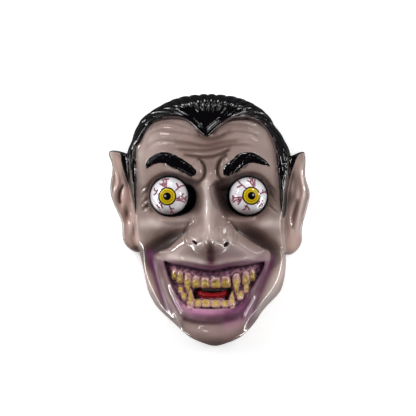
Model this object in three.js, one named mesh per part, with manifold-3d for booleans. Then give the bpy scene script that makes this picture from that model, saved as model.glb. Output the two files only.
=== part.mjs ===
// Vampire mask: one glossy plastic sheet drawn over a carved form, and two ball eyes that sit in it.
// Millimetres. The mask lies face up on its flat rim: +X to the right of the face as seen, +Y to the
// top of the hair, +Z out of the face. The origin is on the plane of the rim, below the outline's middle.
import * as THREE from "three";
import { mergeVertices } from "three/addons/utils/BufferGeometryUtils.js";
import Module from "manifold-3d";

const wasm = await Module();
wasm.setup();

// Sheet
const WALL = 1.2;
const WALL_RISE = 4.6; // height gained for each millimetre in from the rim
const JAW_ROUND = 4; // how softly the side wall turns over into the jaw and the ears
const HAIR_ROUND = 22; // and into the hair, where the head is rounder
const SHOULDER = 34; // the face still curves down over this last stretch before its edge
const SHOULDER_FALL = 0.34; // by this share of its height

// Grid of the sheet
const COLUMNS = 45;
const ROWS = 48;
const OUTLINE_STEPS = 240;

// The lower face leans to one side
const LEAN = 6.5;
const LEAN_FROM = 0;
const LEAN_TO = -60;

// Head outline: place along the face, and half the width there
const HEAD_HALF_WIDTHS = [
  [132, 0],
  [131, 15],
  [128.8, 29],
  [124.6, 41],
  [117.5, 54],
  [108, 66],
  [95, 74.5],
  [82, 81],
  [68, 86],
  [50, 86.5],
  [20, 83.5],
  [0, 80.5],
  [-20, 78.5],
  [-37, 76.5],
  [-53, 74.5],
  [-70, 70.5],
  [-85, 62],
  [-97, 52.5],
  [-110, 41],
  [-122, 28],
  [-129, 13],
  [-132, 0],
];

// Ear outlines, from the front edge at the top, round the tip and the lobe, and back inside the head
const LEFT_EAR = [
  [-82, 64],
  [-88, 70],
  [-100.5, 72.6],
  [-104.9, 69],
  [-101, 55],
  [-103.4, 32],
  [-100, 17],
  [-91.5, -3],
  [-89.8, -22],
  [-82, -31.8],
  [-74, -34],
  [-68, -28],
  [-68, 10],
  [-76, 45],
];
const RIGHT_EAR = [
  [80, 60],
  [86, 66],
  [98.5, 71.3],
  [101.6, 65],
  [100.8, 46],
  [104.3, 28],
  [100.8, 13],
  [95.3, -8],
  [95.6, -24],
  [90, -33.5],
  [82.5, -37],
  [74, -30],
  [73, 10],
  [76, 45],
];
const EAR_PLATE = 13; // height of the sheet behind the ear's fold
const EAR_BODY = 8; // how far the ear's body stands above the plate
const EAR_INSET = 3.5; // from the ear's outline to the top of its rolled edge

// Height of the face's middle line before its features, and how the sides fall away from it
const MIDDLE_HEIGHTS = [
  [132, 42],
  [112, 51],
  [85, 58],
  [50, 61],
  [0, 57],
  [-45, 60],
  [-90, 59],
  [-118, 57],
  [-132, 52],
];
const SIDE_FALL = 0.2; // share of the height lost at the edge of the head

// Hair: a raised cap above this line, from one sideburn over the forehead's peak to the other
const HAIRLINE = [
  [-72.5, 6],
  [-73, 40],
  [-72, 74],
  [-66, 89],
  [-54, 99.5],
  [-38, 102.5],
  [-22, 100.5],
  [-10, 92.5],
  [-1.5, 86],
  [8, 91],
  [18, 98],
  [34, 102.8],
  [49, 101.3],
  [60, 89.5],
  [66.5, 71],
  [70, 45],
  [73, 12],
  [76, 4],
];
const HAIR_RISE = 3;

// Brows: place and half width along each, from the outer end in
const BROW = [
  [-62, 54, 2],
  [-54, 62, 3.8],
  [-43, 63.6, 4.4],
  [-30, 59.4, 4.6],
  [-18, 51.5, 5],
  [-14.5, 48, 3.5],
];
const BROW_RISE = 4.5;

// Eyes
const EYE_X = 40;
const EYE_Y = 24.2;
const EYE_Z = 51;
const EYE_RADIUS = 19.2;
const EYE_DETAIL = 3;
const POCKET_SHIFT = 4.7; // the pocket runs on past the ball towards the nose
const POCKET_HALF = [26, 22.6];
const POCKET_DEPTH = 22.4;
const EYE_ROOM = 2; // least space kept between a ball and the sheet's outer face
const SIGHT_SLOT = { along: 8.5, wide: 3, tall: 20 }; // sight slot beside each ball

// Nose: its crest above the face, and its half width, down the middle
const NOSE_CREST = [
  [46, 0],
  [34, 4],
  [20, 10],
  [0, 17],
  [-14, 26],
  [-23, 30],
  [-31, 24],
  [-38, 8],
  [-46, 0],
];
const NOSE_HALF_WIDTHS = [
  [46, 9],
  [20, 10],
  [-10, 13],
  [-24, 16],
  [-46, 15],
];
const NOSTRIL = { x: 15, y: -25, tilt: 0.7, long: 4.6, wide: 3.2 };

// Cheeks and muzzle
const CHEEKBONE = { x: 58, y: -4, long: 22, wide: 11, rise: 5 };
const CHEEK_HOLLOW = { x: 45, y: -20, long: 19, wide: 9, tilt: -0.55, drop: 9 };
const MUZZLE = [
  [-25, -16],
  [-38, -27],
  [-53, -34],
  [-53, -46],
  [-48, -72],
  [-34, -96],
  [-14, -104],
  [26, -104],
  [46, -92],
  [60, -64],
  [64, -44],
  [60, -32],
  [42, -22],
  [27, -12],
  [2, -20],
];
const MUZZLE_RISE = 7;

// Mouth: the opening's outline, the lower lip and the teeth
const MOUTH = [
  [-42, -44.5],
  [-18, -47.5],
  [3.5, -52],
  [27, -48.5],
  [54.5, -44.5],
  [52.5, -54],
  [43.5, -69],
  [30, -88],
  [6.5, -91.5],
  [-19, -89.5],
  [-29, -79.5],
  [-38.5, -62],
];
const MOUTH_DROP = 9;
const LOWER_LIP = { x: 7, y: -97, long: 34, wide: 7, rise: 3 };
const CHIN = { x: 7, y: -116, long: 24, wide: 12, rise: 4 };
const LIP_GROOVE = { x: 7, y: -106, long: 26, wide: 4, drop: 5 };
const MOUTH_SLOT = { x: 5, y: -69.5, long: 27, wide: 3.4 };
const TOOTH_RISE = 5;
// Each tooth: x, y, half its width, half its height
const TEETH = [
  [-31, -56, 3, 6.5],
  [-22, -63, 3.4, 9.5],
  [-12.5, -63, 4, 5.2],
  [-2.5, -63.6, 4.4, 4.8],
  [7.5, -63.6, 4.6, 4.8],
  [17.5, -62.8, 4.2, 5.6],
  [28, -63.5, 3.6, 8.5],
  [37, -59.5, 3.6, 6],
  [-26.5, -74, 3, 5.5],
  [-18, -79, 3, 9],
  [-11, -83.5, 3, 3.6],
  [-3, -83.5, 3.6, 3.8],
  [7, -83.5, 3.8, 3.6],
  [16, -83.3, 3.8, 3.2],
  [23, -78.6, 2.8, 7.5],
  [31, -74.5, 3.6, 5.5],
];

const COLOURS = { sheet: 0xb0a098, eyeball: 0xe4e2ea };

function smoothstep(from, to, value) {
  return THREE.MathUtils.smoothstep((value - from) / (to - from), 0, 1);
}

function softMin(a, b, blend) {
  const h = THREE.MathUtils.clamp(0.5 + (0.5 * (b - a)) / blend, 0, 1);
  return THREE.MathUtils.lerp(b, a, h) - blend * h * (1 - h);
}

function softMax(a, b, blend) {
  return -softMin(-a, -b, blend);
}

// How far the middle of the face stands to one side at a place along it.
function lean(y) {
  return LEAN * smoothstep(LEAN_FROM, LEAN_TO, y);
}

// A smooth reading of a table of [place, value], with the places in falling order.
function readAlong(table, place) {
  const last = table.length - 1;
  if (place >= table[0][0]) return table[0][1];
  if (place <= table[last][0]) return table[last][1];
  const i = table.findIndex((row) => row[0] <= place) - 1;
  const step = table[i + 1][0] - table[i][0];
  const slopeAt = (k) => {
    const before = table[Math.max(k - 1, 0)];
    const after = table[Math.min(k + 1, last)];
    return ((after[1] - before[1]) / (after[0] - before[0])) * step;
  };
  const t = (place - table[i][0]) / step;
  const rise = table[i + 1][1] - table[i][1];
  const bend = (slopeAt(i) - rise) * (1 - t) - (slopeAt(i + 1) - rise) * t;
  return table[i][1] + rise * t + bend * t * (1 - t);
}

// A closed smooth curve through a few points, as a polygon.
function closedCurve(points, steps = 80) {
  const corners = points.map(([x, y]) => new THREE.Vector3(x, y, 0));
  return new THREE.CatmullRomCurve3(corners, true).getPoints(steps).slice(0, -1);
}

// Distance from a point to the nearest side of a polygon, and the share of the way along that side.
function nearestSide(points, closed, x, y) {
  let best = { distance: Infinity, index: 0, share: 0 };
  const sides = closed ? points.length : points.length - 1;
  for (let i = 0; i < sides; i++) {
    const a = points[i];
    const b = points[(i + 1) % points.length];
    const dx = b.x - a.x;
    const dy = b.y - a.y;
    const along = ((x - a.x) * dx + (y - a.y) * dy) / (dx * dx + dy * dy);
    const share = THREE.MathUtils.clamp(along, 0, 1);
    const distance = Math.hypot(x - a.x - share * dx, y - a.y - share * dy);
    if (distance < best.distance) best = { distance, index: i, share };
  }
  return best;
}

// Distance in from a closed outline: positive inside, negative outside.
function depthInside(outline, x, y) {
  let inside = false;
  outline.forEach((a, i) => {
    const b = outline[(i + 1) % outline.length];
    const crosses = a.y > y !== b.y > y;
    if (crosses && x < a.x + ((y - a.y) * (b.x - a.x)) / (b.y - a.y)) inside = !inside;
  });
  const { distance } = nearestSide(outline, true, x, y);
  return inside ? distance : -distance;
}

// An oval swelling, or a hollow where the rise is negative, turned by a tilt.
function swell({ x, y, long, wide, tilt = 0 }, rise, px, py) {
  const dx = px - x;
  const dy = py - y;
  const u = (dx * Math.cos(tilt) + dy * Math.sin(tilt)) / long;
  const v = (dy * Math.cos(tilt) - dx * Math.sin(tilt)) / wide;
  return rise * Math.exp(-(u * u + v * v));
}

function mirrored(feature) {
  return { ...feature, x: -feature.x, tilt: -(feature.tilt ?? 0) };
}

function headOutline() {
  const right = HEAD_HALF_WIDTHS.map(([y, half]) => [half, y]);
  const left = right.slice(1, -1).reverse();
  const points = [...right, ...left.map(([half, y]) => [-half, y])];
  return closedCurve(points, OUTLINE_STEPS).map((p) => p.setX(p.x + lean(p.y)));
}

const head = headOutline();
const ears = [closedCurve(LEFT_EAR), closedCurve(RIGHT_EAR)];
const hair = closedCurve([...HAIRLINE, [120, -10], [120, 160], [-120, 160], [-120, -10]], 160);
const muzzle = closedCurve(MUZZLE);
const mouth = closedCurve(MOUTH);
const brow = BROW.map(([x, y]) => new THREE.Vector3(x, y, 0));

// Height of the head without its features or its side wall.
function domeHeight(x, y, inside) {
  const middle = readAlong(MIDDLE_HEIGHTS, y);
  const half = Math.max(readAlong(HEAD_HALF_WIDTHS, y), 30);
  const side = Math.abs(x - lean(y)) / half;
  const shoulder = Math.max(1 - inside / SHOULDER, 0);
  return middle * (1 - SIDE_FALL * side ** 2.2) * (1 - SHOULDER_FALL * shoulder ** 2);
}

function browHeight(x, y) {
  const { distance, index, share } = nearestSide(brow, false, -Math.abs(x), y);
  const half = THREE.MathUtils.lerp(BROW[index][2], BROW[index + 1][2], share);
  return BROW_RISE * smoothstep(half + 1.5, half - 3, distance);
}

function noseHeight(x, y) {
  const across = Math.abs(x - lean(y)) / readAlong(NOSE_HALF_WIDTHS, y);
  return readAlong(NOSE_CREST, y) * Math.exp(-(across ** 2));
}

function cheekHeight(x, y) {
  let rise = 0;
  for (const side of [mirrored, (feature) => feature]) {
    rise += swell(side(CHEEKBONE), CHEEKBONE.rise, x, y);
    rise += swell(side(CHEEK_HOLLOW), -CHEEK_HOLLOW.drop, x, y);
  }
  return rise;
}

function mouthHeight(x, y) {
  const inside = depthInside(mouth, x, y);
  let rise = swell(LOWER_LIP, LOWER_LIP.rise, x, y) + swell(CHIN, CHIN.rise, x, y);
  rise += swell(LIP_GROOVE, -LIP_GROOVE.drop, x, y);
  rise -= MOUTH_DROP * smoothstep(-1, 3, inside);
  const teeth = TEETH.map(([tx, ty, halfWide, halfTall]) => {
    const across = Math.hypot((x - tx) / halfWide, (y - ty) / halfTall);
    return TOOTH_RISE * smoothstep(1.3, 0.4, across);
  });
  return rise + Math.max(...teeth);
}

// Height of the bottom of the pocket that an eye sits in, or far above the face outside it.
function pocketHeight(side, x, y) {
  const u = (x - side * (EYE_X - POCKET_SHIFT)) / POCKET_HALF[0];
  const v = (y - EYE_Y) / POCKET_HALF[1];
  const out = Math.hypot(u, v);
  if (out >= 1) return EYE_Z + (out - 1) * POCKET_HALF[1] * WALL_RISE;
  const bowl = EYE_Z - POCKET_DEPTH * Math.sqrt(1 - out * out);
  const room = (EYE_RADIUS + EYE_ROOM) ** 2 - (x - side * EYE_X) ** 2 - (y - EYE_Y) ** 2;
  return Math.min(bowl, EYE_Z - Math.sqrt(Math.max(room, 0)));
}

function earHeight(outline, side, x, y) {
  const inside = depthInside(outline, x, y);
  const bowl = swell({ x: side * 90, y: 18, long: 6, wide: 26, tilt: side * 0.12 }, EAR_BODY, x, y);
  const body = EAR_BODY * smoothstep(0, EAR_INSET, inside) - 0.8 * bowl;
  return softMin(WALL_RISE * Math.max(inside, 0), EAR_PLATE + body, JAW_ROUND);
}

// Height of the sheet's outer face above the plane of the rim.
function faceHeight(x, y) {
  const inside = depthInside(head, x, y);
  let top = domeHeight(x, y, inside) + browHeight(x, y) + noseHeight(x, y) + cheekHeight(x, y);
  top += HAIR_RISE * smoothstep(-1.5, 1.5, depthInside(hair, x, y));
  top += MUZZLE_RISE * smoothstep(-2, 6, depthInside(muzzle, x, y));
  top += mouthHeight(x, y);
  for (const side of [-1, 1]) top = softMin(top, pocketHeight(side, x, y), 3);
  const round = THREE.MathUtils.lerp(JAW_ROUND, HAIR_ROUND, smoothstep(40, 90, y));
  let height = softMin(WALL_RISE * Math.max(inside, 0), top, round);
  height = softMax(height, earHeight(ears[0], -1, x, y), 1);
  height = softMax(height, earHeight(ears[1], 1, x, y), 1);
  return Math.max(height, 0);
}

// Furthest point of the whole outline in a direction from the middle.
function reach(angle) {
  const dx = Math.cos(angle);
  const dy = Math.sin(angle);
  let furthest = 0;
  for (const outline of [head, ...ears]) {
    outline.forEach((a, i) => {
      const b = outline[(i + 1) % outline.length];
      const sideA = dx * a.y - dy * a.x;
      const sideB = dx * b.y - dy * b.x;
      if (sideA > 0 === sideB > 0) return;
      const t = sideA / (sideA - sideB);
      furthest = Math.max(furthest, dx * (a.x + t * (b.x - a.x)) + dy * (a.y + t * (b.y - a.y)));
    });
  }
  return furthest;
}

// Places of the grid's lines from -1 to 1, closer together where the weight is high.
function spread(count, weight) {
  const fine = 400;
  const sums = [0];
  for (let i = 0; i < fine; i++) sums.push(sums[i] + weight(((i + 0.5) / fine) * 2 - 1));
  return Array.from({ length: count + 1 }, (_, k) => {
    if (k === 0 || k === count) return Math.sign(k - 0.5);
    const target = (sums[fine] * k) / count;
    const i = sums.findIndex((sum) => sum >= target);
    return ((i - (sums[i] - target) / (sums[i] - sums[i - 1])) / fine) * 2 - 1;
  });
}

// The grid's points on the plane of the rim: a square grid pressed into a disc and out to the outline.
function gridPoints() {
  const near = (t, place, width) => Math.exp(-(((t - place) / width) ** 2));
  const rim = (t) => 0.9 * near(Math.abs(t), 1, 0.09);
  const columns = spread(COLUMNS, (t) => 1 + rim(t) + 0.3 * near(Math.abs(t), 0.42, 0.2));
  const rows = spread(ROWS, (t) => 1 + rim(t) + 0.8 * near(t, -0.52, 0.2) + 0.6 * near(t, 0.18, 0.16));
  return rows.map((v) =>
    columns.map((u) => {
      const x = u * Math.sqrt(1 - (v * v) / 2);
      const y = v * Math.sqrt(1 - (u * u) / 2);
      const radius = reach(Math.atan2(y, x));
      return new THREE.Vector2(x * radius, y * radius);
    }),
  );
}

// Two triangles over one square of the grid, split along its more level diagonal.
function quadFaces(outer, a, across) {
  const b = a + 1;
  const c = a + across + 1;
  const d = a + across;
  const climb = (k, m) => Math.abs(outer[3 * k + 2] - outer[3 * m + 2]);
  return climb(a, c) < climb(b, d) ? [a, b, c, a, c, d] : [a, b, d, b, c, d];
}

// Outer face, inner face and the flat rim between them, as one closed mesh.
function sheetGeometry() {
  const points = gridPoints();
  const across = COLUMNS + 1;
  const count = across * (ROWS + 1);
  const isRim = (i, j) => i === 0 || j === 0 || i === ROWS || j === COLUMNS;
  const outer = [];
  const faces = [];
  points.forEach((row, i) =>
    row.forEach((p, j) => outer.push(p.x, p.y, isRim(i, j) ? 0 : faceHeight(p.x, p.y))),
  );
  for (let i = 0; i < ROWS; i++) {
    for (let j = 0; j < COLUMNS; j++) faces.push(...quadFaces(outer, i * across + j, across));
  }
  const front = new THREE.BufferGeometry();
  front.setAttribute("position", new THREE.Float32BufferAttribute(outer, 3));
  front.setIndex(faces);
  front.computeVertexNormals();
  const normals = front.getAttribute("normal");
  const inner = [];
  for (let k = 0; k < count; k++) {
    const rim = isRim(Math.floor(k / across), k % across);
    const normal = new THREE.Vector3().fromBufferAttribute(normals, k);
    if (rim) normal.setZ(0).normalize();
    inner.push(outer[3 * k] - WALL * normal.x, outer[3 * k + 1] - WALL * normal.y);
    inner.push(outer[3 * k + 2] - WALL * normal.z);
  }
  const back = faces.map((_, k) => count + faces[k - (k % 3) + (2 - (k % 3))]);
  const loop = rimLoop(across);
  const rimFaces = loop.flatMap((a, k) => {
    const b = loop[(k + 1) % loop.length];
    return [a, a + count, b, b, a + count, b + count];
  });
  const sheet = new THREE.BufferGeometry();
  sheet.setAttribute("position", new THREE.Float32BufferAttribute([...outer, ...inner], 3));
  sheet.setIndex([...faces, ...back, ...rimFaces]);
  return sheet;
}

// The grid's border, in order around the sheet.
function rimLoop(across) {
  const loop = [];
  for (let j = 0; j < COLUMNS; j++) loop.push(j);
  for (let i = 0; i < ROWS; i++) loop.push(i * across + COLUMNS);
  for (let j = COLUMNS; j > 0; j--) loop.push(ROWS * across + j);
  for (let i = ROWS; i > 0; i--) loop.push(i * across);
  return loop;
}

function solidOf(geometry) {
  const plain = geometry.clone();
  plain.deleteAttribute("normal");
  plain.deleteAttribute("uv");
  const merged = mergeVertices(plain, 1e-4);
  return new wasm.Manifold(
    new wasm.Mesh({
      numProp: 3,
      vertProperties: merged.getAttribute("position").array,
      triVerts: new Uint32Array(merged.index.array),
    }),
  );
}

function geometryOf(solid) {
  const { vertProperties, triVerts } = solid.getMesh();
  const geometry = new THREE.BufferGeometry();
  geometry.setAttribute("position", new THREE.BufferAttribute(vertProperties, 3));
  geometry.setIndex(new THREE.BufferAttribute(triVerts, 1));
  geometry.computeVertexNormals();
  return geometry;
}

// A tall oval plug that cuts a hole straight through the sheet.
function holePlug(x, y, halfLong, halfWide, tilt) {
  const shape = new THREE.Shape().absellipse(0, 0, halfLong, halfWide, 0, 2 * Math.PI, false, tilt);
  const plug = new THREE.ExtrudeGeometry(shape, { depth: 120, bevelEnabled: false, curveSegments: 5 });
  return solidOf(plug.translate(x, y, -10));
}

function cutSheet() {
  const plugs = [holePlug(MOUTH_SLOT.x, MOUTH_SLOT.y, MOUTH_SLOT.long / 2, MOUTH_SLOT.wide / 2, 0)];
  for (const side of [-1, 1]) {
    const nostrilX = lean(NOSTRIL.y) + side * NOSTRIL.x;
    plugs.push(
      holePlug(nostrilX, NOSTRIL.y, NOSTRIL.long / 2, NOSTRIL.wide / 2, side * NOSTRIL.tilt),
    );
    const slotX = side * (EYE_X - POCKET_SHIFT - SIGHT_SLOT.along);
    plugs.push(holePlug(slotX, EYE_Y, SIGHT_SLOT.wide / 2, SIGHT_SLOT.tall / 2, 0));
  }
  return plugs.reduce((sheet, plug) => sheet.subtract(plug), solidOf(sheetGeometry()));
}

function glossy(color) {
  return new THREE.MeshStandardMaterial({ color, roughness: 0.15, metalness: 0 });
}

function named(name, geometry, material) {
  const mesh = new THREE.Mesh(geometry, material);
  mesh.name = name;
  return mesh;
}

const mask = new THREE.Group();
mask.add(named("mask_shell", geometryOf(cutSheet()), glossy(COLOURS.sheet)));
for (const [name, side] of [["eyeball_left", -1], ["eyeball_right", 1]]) {
  const ball = new THREE.IcosahedronGeometry(EYE_RADIUS, EYE_DETAIL);
  const eye = named(name, ball, glossy(COLOURS.eyeball));
  eye.position.set(side * EYE_X, EYE_Y, EYE_Z);
  mask.add(eye);
}

export default mask;
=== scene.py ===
# %% [markdown]
# # Vampire mask
#
# The object is a face mask: one thin plastic sheet, drawn down hot over a carved form, trimmed flat all
# round, and then sprayed and brushed with glossy paint. Two glossy ball eyes sit in its eye pockets.
# The mask lies on its rim with the face up, and the camera looks straight down on it from 1.5 m.
#
# The mask is worked out in millimetres in the part's own frame: X to the right of the face as seen,
# Y to the top of the hair, Z out of the face. `MM` turns it into Blender's metres at the end.

# %% Load the frame
import math

import bmesh
import bpy
import numpy as np
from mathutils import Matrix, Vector


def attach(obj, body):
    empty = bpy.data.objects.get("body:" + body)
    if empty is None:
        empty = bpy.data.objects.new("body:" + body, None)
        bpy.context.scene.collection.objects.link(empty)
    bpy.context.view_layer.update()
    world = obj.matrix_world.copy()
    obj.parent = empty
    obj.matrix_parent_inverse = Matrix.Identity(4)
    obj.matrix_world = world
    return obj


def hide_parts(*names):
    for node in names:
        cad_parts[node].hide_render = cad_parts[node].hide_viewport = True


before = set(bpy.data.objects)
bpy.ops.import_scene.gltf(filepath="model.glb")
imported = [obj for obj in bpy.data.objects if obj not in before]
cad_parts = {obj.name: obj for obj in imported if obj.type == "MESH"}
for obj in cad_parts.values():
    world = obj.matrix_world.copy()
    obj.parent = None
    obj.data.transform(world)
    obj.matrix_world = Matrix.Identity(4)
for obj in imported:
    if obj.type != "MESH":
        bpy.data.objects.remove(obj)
bpy.context.view_layer.update()
MM = 0.001
print("nodes:", sorted(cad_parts))

# %% [markdown]
# ## Drawing with curves
#
# A sculptor marks a face with lines: the hairline, the edge of a brow, a fold beside the mouth. Here
# each line is a few points that a smooth curve runs through, and every other step asks the same two
# questions of it: how far is a place from the line, and is it inside the line's loop.

# %% Curves and distances


def smooth(start, end, value):
    """0 before start, 1 after end, and an even S between them."""
    share = np.clip((value - start) / (end - start), 0, 1)
    return share * share * (3 - 2 * share)


def soft_min(a, b, blend):
    """The lower of two heights, with the corner between them rounded."""
    share = np.clip(0.5 + 0.5 * (b - a) / blend, 0, 1)
    return b + (a - b) * share - blend * share * (1 - share)


def read_along(table, place):
    """A smooth reading of a table of (place, value) rows."""
    at, value = np.array(sorted(table), float).T
    slope = np.empty_like(value)
    slope[1:-1] = (value[2:] - value[:-2]) / (at[2:] - at[:-2])
    slope[0] = (value[1] - value[0]) / (at[1] - at[0])
    slope[-1] = (value[-1] - value[-2]) / (at[-1] - at[-2])
    place = np.clip(place, at[0], at[-1])
    row = np.clip(np.searchsorted(at, place) - 1, 0, len(at) - 2)
    step = at[row + 1] - at[row]
    t = (place - at[row]) / step
    rise = value[row + 1] - value[row]
    bend = (slope[row] * step - rise) * (1 - t) - (slope[row + 1] * step - rise) * t
    return value[row] + rise * t + bend * t * (1 - t)


def curve(points, closed=False, parts=6):
    """A smooth line through a few points, as many short sides."""
    p = np.array(points, float)
    if closed:
        before, after, later = np.roll(p, 1, 0), np.roll(p, -1, 0), np.roll(p, -2, 0)
    else:
        before = np.vstack([p[:1], p[:-2]])
        after = p[1:]
        later = np.vstack([p[2:], p[-1:]])
        p = p[:-1]
    t = (np.arange(parts) / parts)[None, :, None]
    a, b, c, d = (q[:, None, :] for q in (before, p, after, later))
    line = b + 0.5 * t * (c - a + t * (2 * a - 5 * b + 4 * c - d + t * (3 * (b - c) + d - a)))
    line = line.reshape(-1, 2)
    return line if closed else np.vstack([line, points[-1:]])


def to_line(line, closed, x, y):
    """Distance to the nearest side of a line, and the share of its length where that side is."""
    starts, ends = (line, np.roll(line, -1, 0)) if closed else (line[:-1], line[1:])
    lengths = np.hypot(*(ends - starts).T)
    run = np.concatenate([[0], np.cumsum(lengths)]) / lengths.sum()
    best = np.full(x.shape, 1e9)
    share = np.zeros(x.shape)
    for k, ((ax, ay), (bx, by)) in enumerate(zip(starts, ends)):
        dx, dy = bx - ax, by - ay
        t = np.clip(((x - ax) * dx + (y - ay) * dy) / (dx * dx + dy * dy), 0, 1)
        distance = np.hypot(x - ax - t * dx, y - ay - t * dy)
        closer = distance < best
        best[closer] = distance[closer]
        share[closer] = run[k] + t[closer] * (run[k + 1] - run[k])
    return best, share


def near(line, margin, x, y):
    """Which places are in a line's box, with a margin round it."""
    (x0, y0), (x1, y1) = line.min(0) - margin, line.max(0) + margin
    return (x > x0) & (x < x1) & (y > y0) & (y < y1)


def inside(outline, x, y, margin=12.0):
    """Distance in from a closed outline: positive inside, negative outside, no further than margin."""
    result = np.full(x.shape, -float(margin))
    close = near(outline, margin, x, y)
    px, py = x[close], y[close]
    within = np.zeros(px.shape, bool)
    for (ax, ay), (bx, by) in zip(outline, np.roll(outline, -1, 0)):
        if ay != by:
            within ^= ((ay > py) != (by > py)) & (px < ax + (py - ay) * (bx - ax) / (by - ay))
    distance, _ = to_line(outline, True, px, py)
    result[close] = np.maximum(np.where(within, distance, -distance), -margin)
    return result


def stroke(points, half, x, y, taper=0.2):
    """A soft stroke along a line, 1 in its middle, that fades out at both ends."""
    line = curve(points)
    result = np.zeros(x.shape)
    close = near(line, 3 * half, x, y)
    distance, share = to_line(line, False, x[close], y[close])
    ends = smooth(0, taper, share) * smooth(1, 1 - taper, share) if taper else 1
    result[close] = np.exp(-((distance / half) ** 2)) * ends
    return result


def swell(place, half_sizes, tilt, x, y):
    """A soft oval swelling, 1 at its middle, turned by a tilt in degrees."""
    angle = math.radians(tilt)
    dx, dy = x - place[0], y - place[1]
    u = (dx * math.cos(angle) + dy * math.sin(angle)) / half_sizes[0]
    v = (dy * math.cos(angle) - dx * math.sin(angle)) / half_sizes[1]
    return np.exp(-(u * u + v * v))


print("drawing helpers ready")

# %% [markdown]
# ## The bare head
#
# First the form without its features: a dome, its side wall, and the outline where the sheet was
# trimmed. The sizes follow the CAD part. The lower face leans to one side, the side wall is steeper in
# some places than in others, and the crown is rounded off more than the rest of the dome.

# %% Outline and dome
MOUTH_LEAN, JAW_LEAN, HAIR_LEAN = 6.5, 3.6, 2.8
JAW_AT, HAIR_AT, LEAN_REACH = -92, 101, 13
HEAD_HALF_WIDTHS = [
    (132, 0), (131, 15), (128.8, 29), (124.6, 41), (117.5, 54), (108, 66), (95, 74.5), (82, 81),
    (68, 86), (50, 86.5), (20, 83.5), (0, 80.5), (-20, 78.5), (-37, 76.5), (-53, 74.5), (-70, 71.2),
    (-78, 67.6), (-85, 62.6), (-97, 52.5), (-110, 41), (-122, 28), (-129, 13), (-132, 0),
]
LEFT_EAR = [
    (-82, 64), (-88, 70), (-100.5, 72.6), (-104.9, 69), (-101, 55), (-103.4, 32), (-100, 17),
    (-91.5, -3), (-89.8, -22), (-82, -31.8), (-74, -34), (-68, -28), (-68, 10), (-76, 45),
]
RIGHT_EAR = [
    (80, 60), (86, 66), (98.5, 71.3), (101.6, 65), (101.4, 46), (106, 28), (103.6, 13),
    (98.2, -8), (97.6, -24), (91.5, -33.5), (83, -37), (74, -30), (73, 10), (76, 45),
]
MIDDLE_HEIGHTS = [
    (132, 47), (112, 55), (85, 58.5), (50, 61), (0, 57), (-45, 60), (-90, 59), (-118, 57), (-132, 52),
]
WALL_LEFT = [
    (132, 3.4), (100, 3.8), (60, 5), (10, 6), (-20, 4), (-42, 2.6), (-96, 2.8), (-132, 3.4),
]
WALL_RIGHT = [
    (132, 3.4), (100, 3.8), (60, 5), (10, 6), (-20, 5), (-36, 3), (-108, 3), (-132, 3.4),
]
SIDE_FALL = 0.2
SHOULDER, SHOULDER_FALL = 26, 0.05
CROWN_SHOULDER, CROWN_FALL = 15, 0.3
WALL_RISE = 41  # how high the wall climbs over its own width


def lean(y):
    """How far right the middle of the face stands: most at the mouth, less at the jaw, left at the hair."""
    jaw = np.exp(-(((y - JAW_AT) / LEAN_REACH) ** 2))
    hair = np.exp(-(((y - HAIR_AT) / LEAN_REACH) ** 2))
    return MOUTH_LEAN * smooth(0, -60, y) - JAW_LEAN * jaw - HAIR_LEAN * hair


def head_outline():
    """The trimmed outline of the head, without the ears."""
    right = [(half, y) for y, half in HEAD_HALF_WIDTHS]
    left = [(-half, y) for half, y in right[-2:0:-1]]
    line = curve(right + left, closed=True)
    line[:, 0] += lean(line[:, 1])
    return line


HEAD = head_outline()
EARS = [curve(LEFT_EAR, closed=True), curve(RIGHT_EAR, closed=True)]


def dome(x, y, edge):
    """Height of the bare face, without its features."""
    middle = read_along(MIDDLE_HEIGHTS, y)
    half = np.maximum(read_along(HEAD_HALF_WIDTHS, y), 30)
    side = np.abs(x - lean(y)) / half
    crown = smooth(45, 100, y)
    shoulder = np.maximum(1 - edge / (SHOULDER + (CROWN_SHOULDER - SHOULDER) * crown), 0)
    fall = SHOULDER_FALL + (CROWN_FALL - SHOULDER_FALL) * crown
    return middle * (1 - SIDE_FALL * side**2.2) * (1 - fall * shoulder**2)


def wall(x, y, edge):
    """Height of the side wall, from the distance in from the outline."""
    width = np.where(x < lean(y), read_along(WALL_LEFT, y), read_along(WALL_RIGHT, y))
    return WALL_RISE * np.maximum(edge, 0) / width


print("head outline:", len(HEAD), "sides, ears:", [len(ear) for ear in EARS])

# %% [markdown]
# ## Hair
#
# The hair is combed back from a widow's peak. On the mask it is a raised cap with a rolled edge, and
# locks are cut into it: round strips with sharp grooves between. The locks fan out from the peak over
# the crown, and bend round to run down the sideburns. So each place gets a lock number: at the crown
# it grows with the angle about the peak, and at the sides it falls from the hairline to the outline.
# Over the crown the grooves run on down the side wall and notch the trimmed outline.

# %% The cap of hair
HAIRLINE = [
    (-74, 5), (-73.5, 20), (-73, 40.5), (-73.5, 60), (-73.2, 74.5), (-69.2, 78.6), (-64.5, 88),
    (-59.2, 94.7), (-54, 98.8), (-46, 100.9), (-36, 101.8), (-26, 100.7), (-20.9, 98.2), (-15.8, 94.2),
    (-11.8, 89.7), (-7.5, 86.4), (-4, 84.3), (-1, 83.8), (2.5, 86), (8.5, 91.5), (17.5, 97.8), (26, 100),
    (35, 100.7), (45, 99.6), (53, 95.5), (60.5, 87.5), (66.5, 72), (69, 57.5), (71.3, 34.5), (72.4, 17),
    (74.5, 6), (77.5, 1.5),
]
HAIR_BESIDE_RIGHT_EAR = [(80, 6), (81, 15), (82, 30.5), (84.5, 43), (87.5, 53.5), (90.5, 62), (96, 71)]
HAIR_BESIDE_LEFT_EAR = [(-92, 69.5), (-90.5, 60.5), (-87.5, 48.5), (-82.5, 35), (-77.8, 20.5), (-75.8, 11)]
BEYOND_THE_CROWN = [(112, 90), (90, 150), (-90, 150), (-106, 84)]
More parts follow.
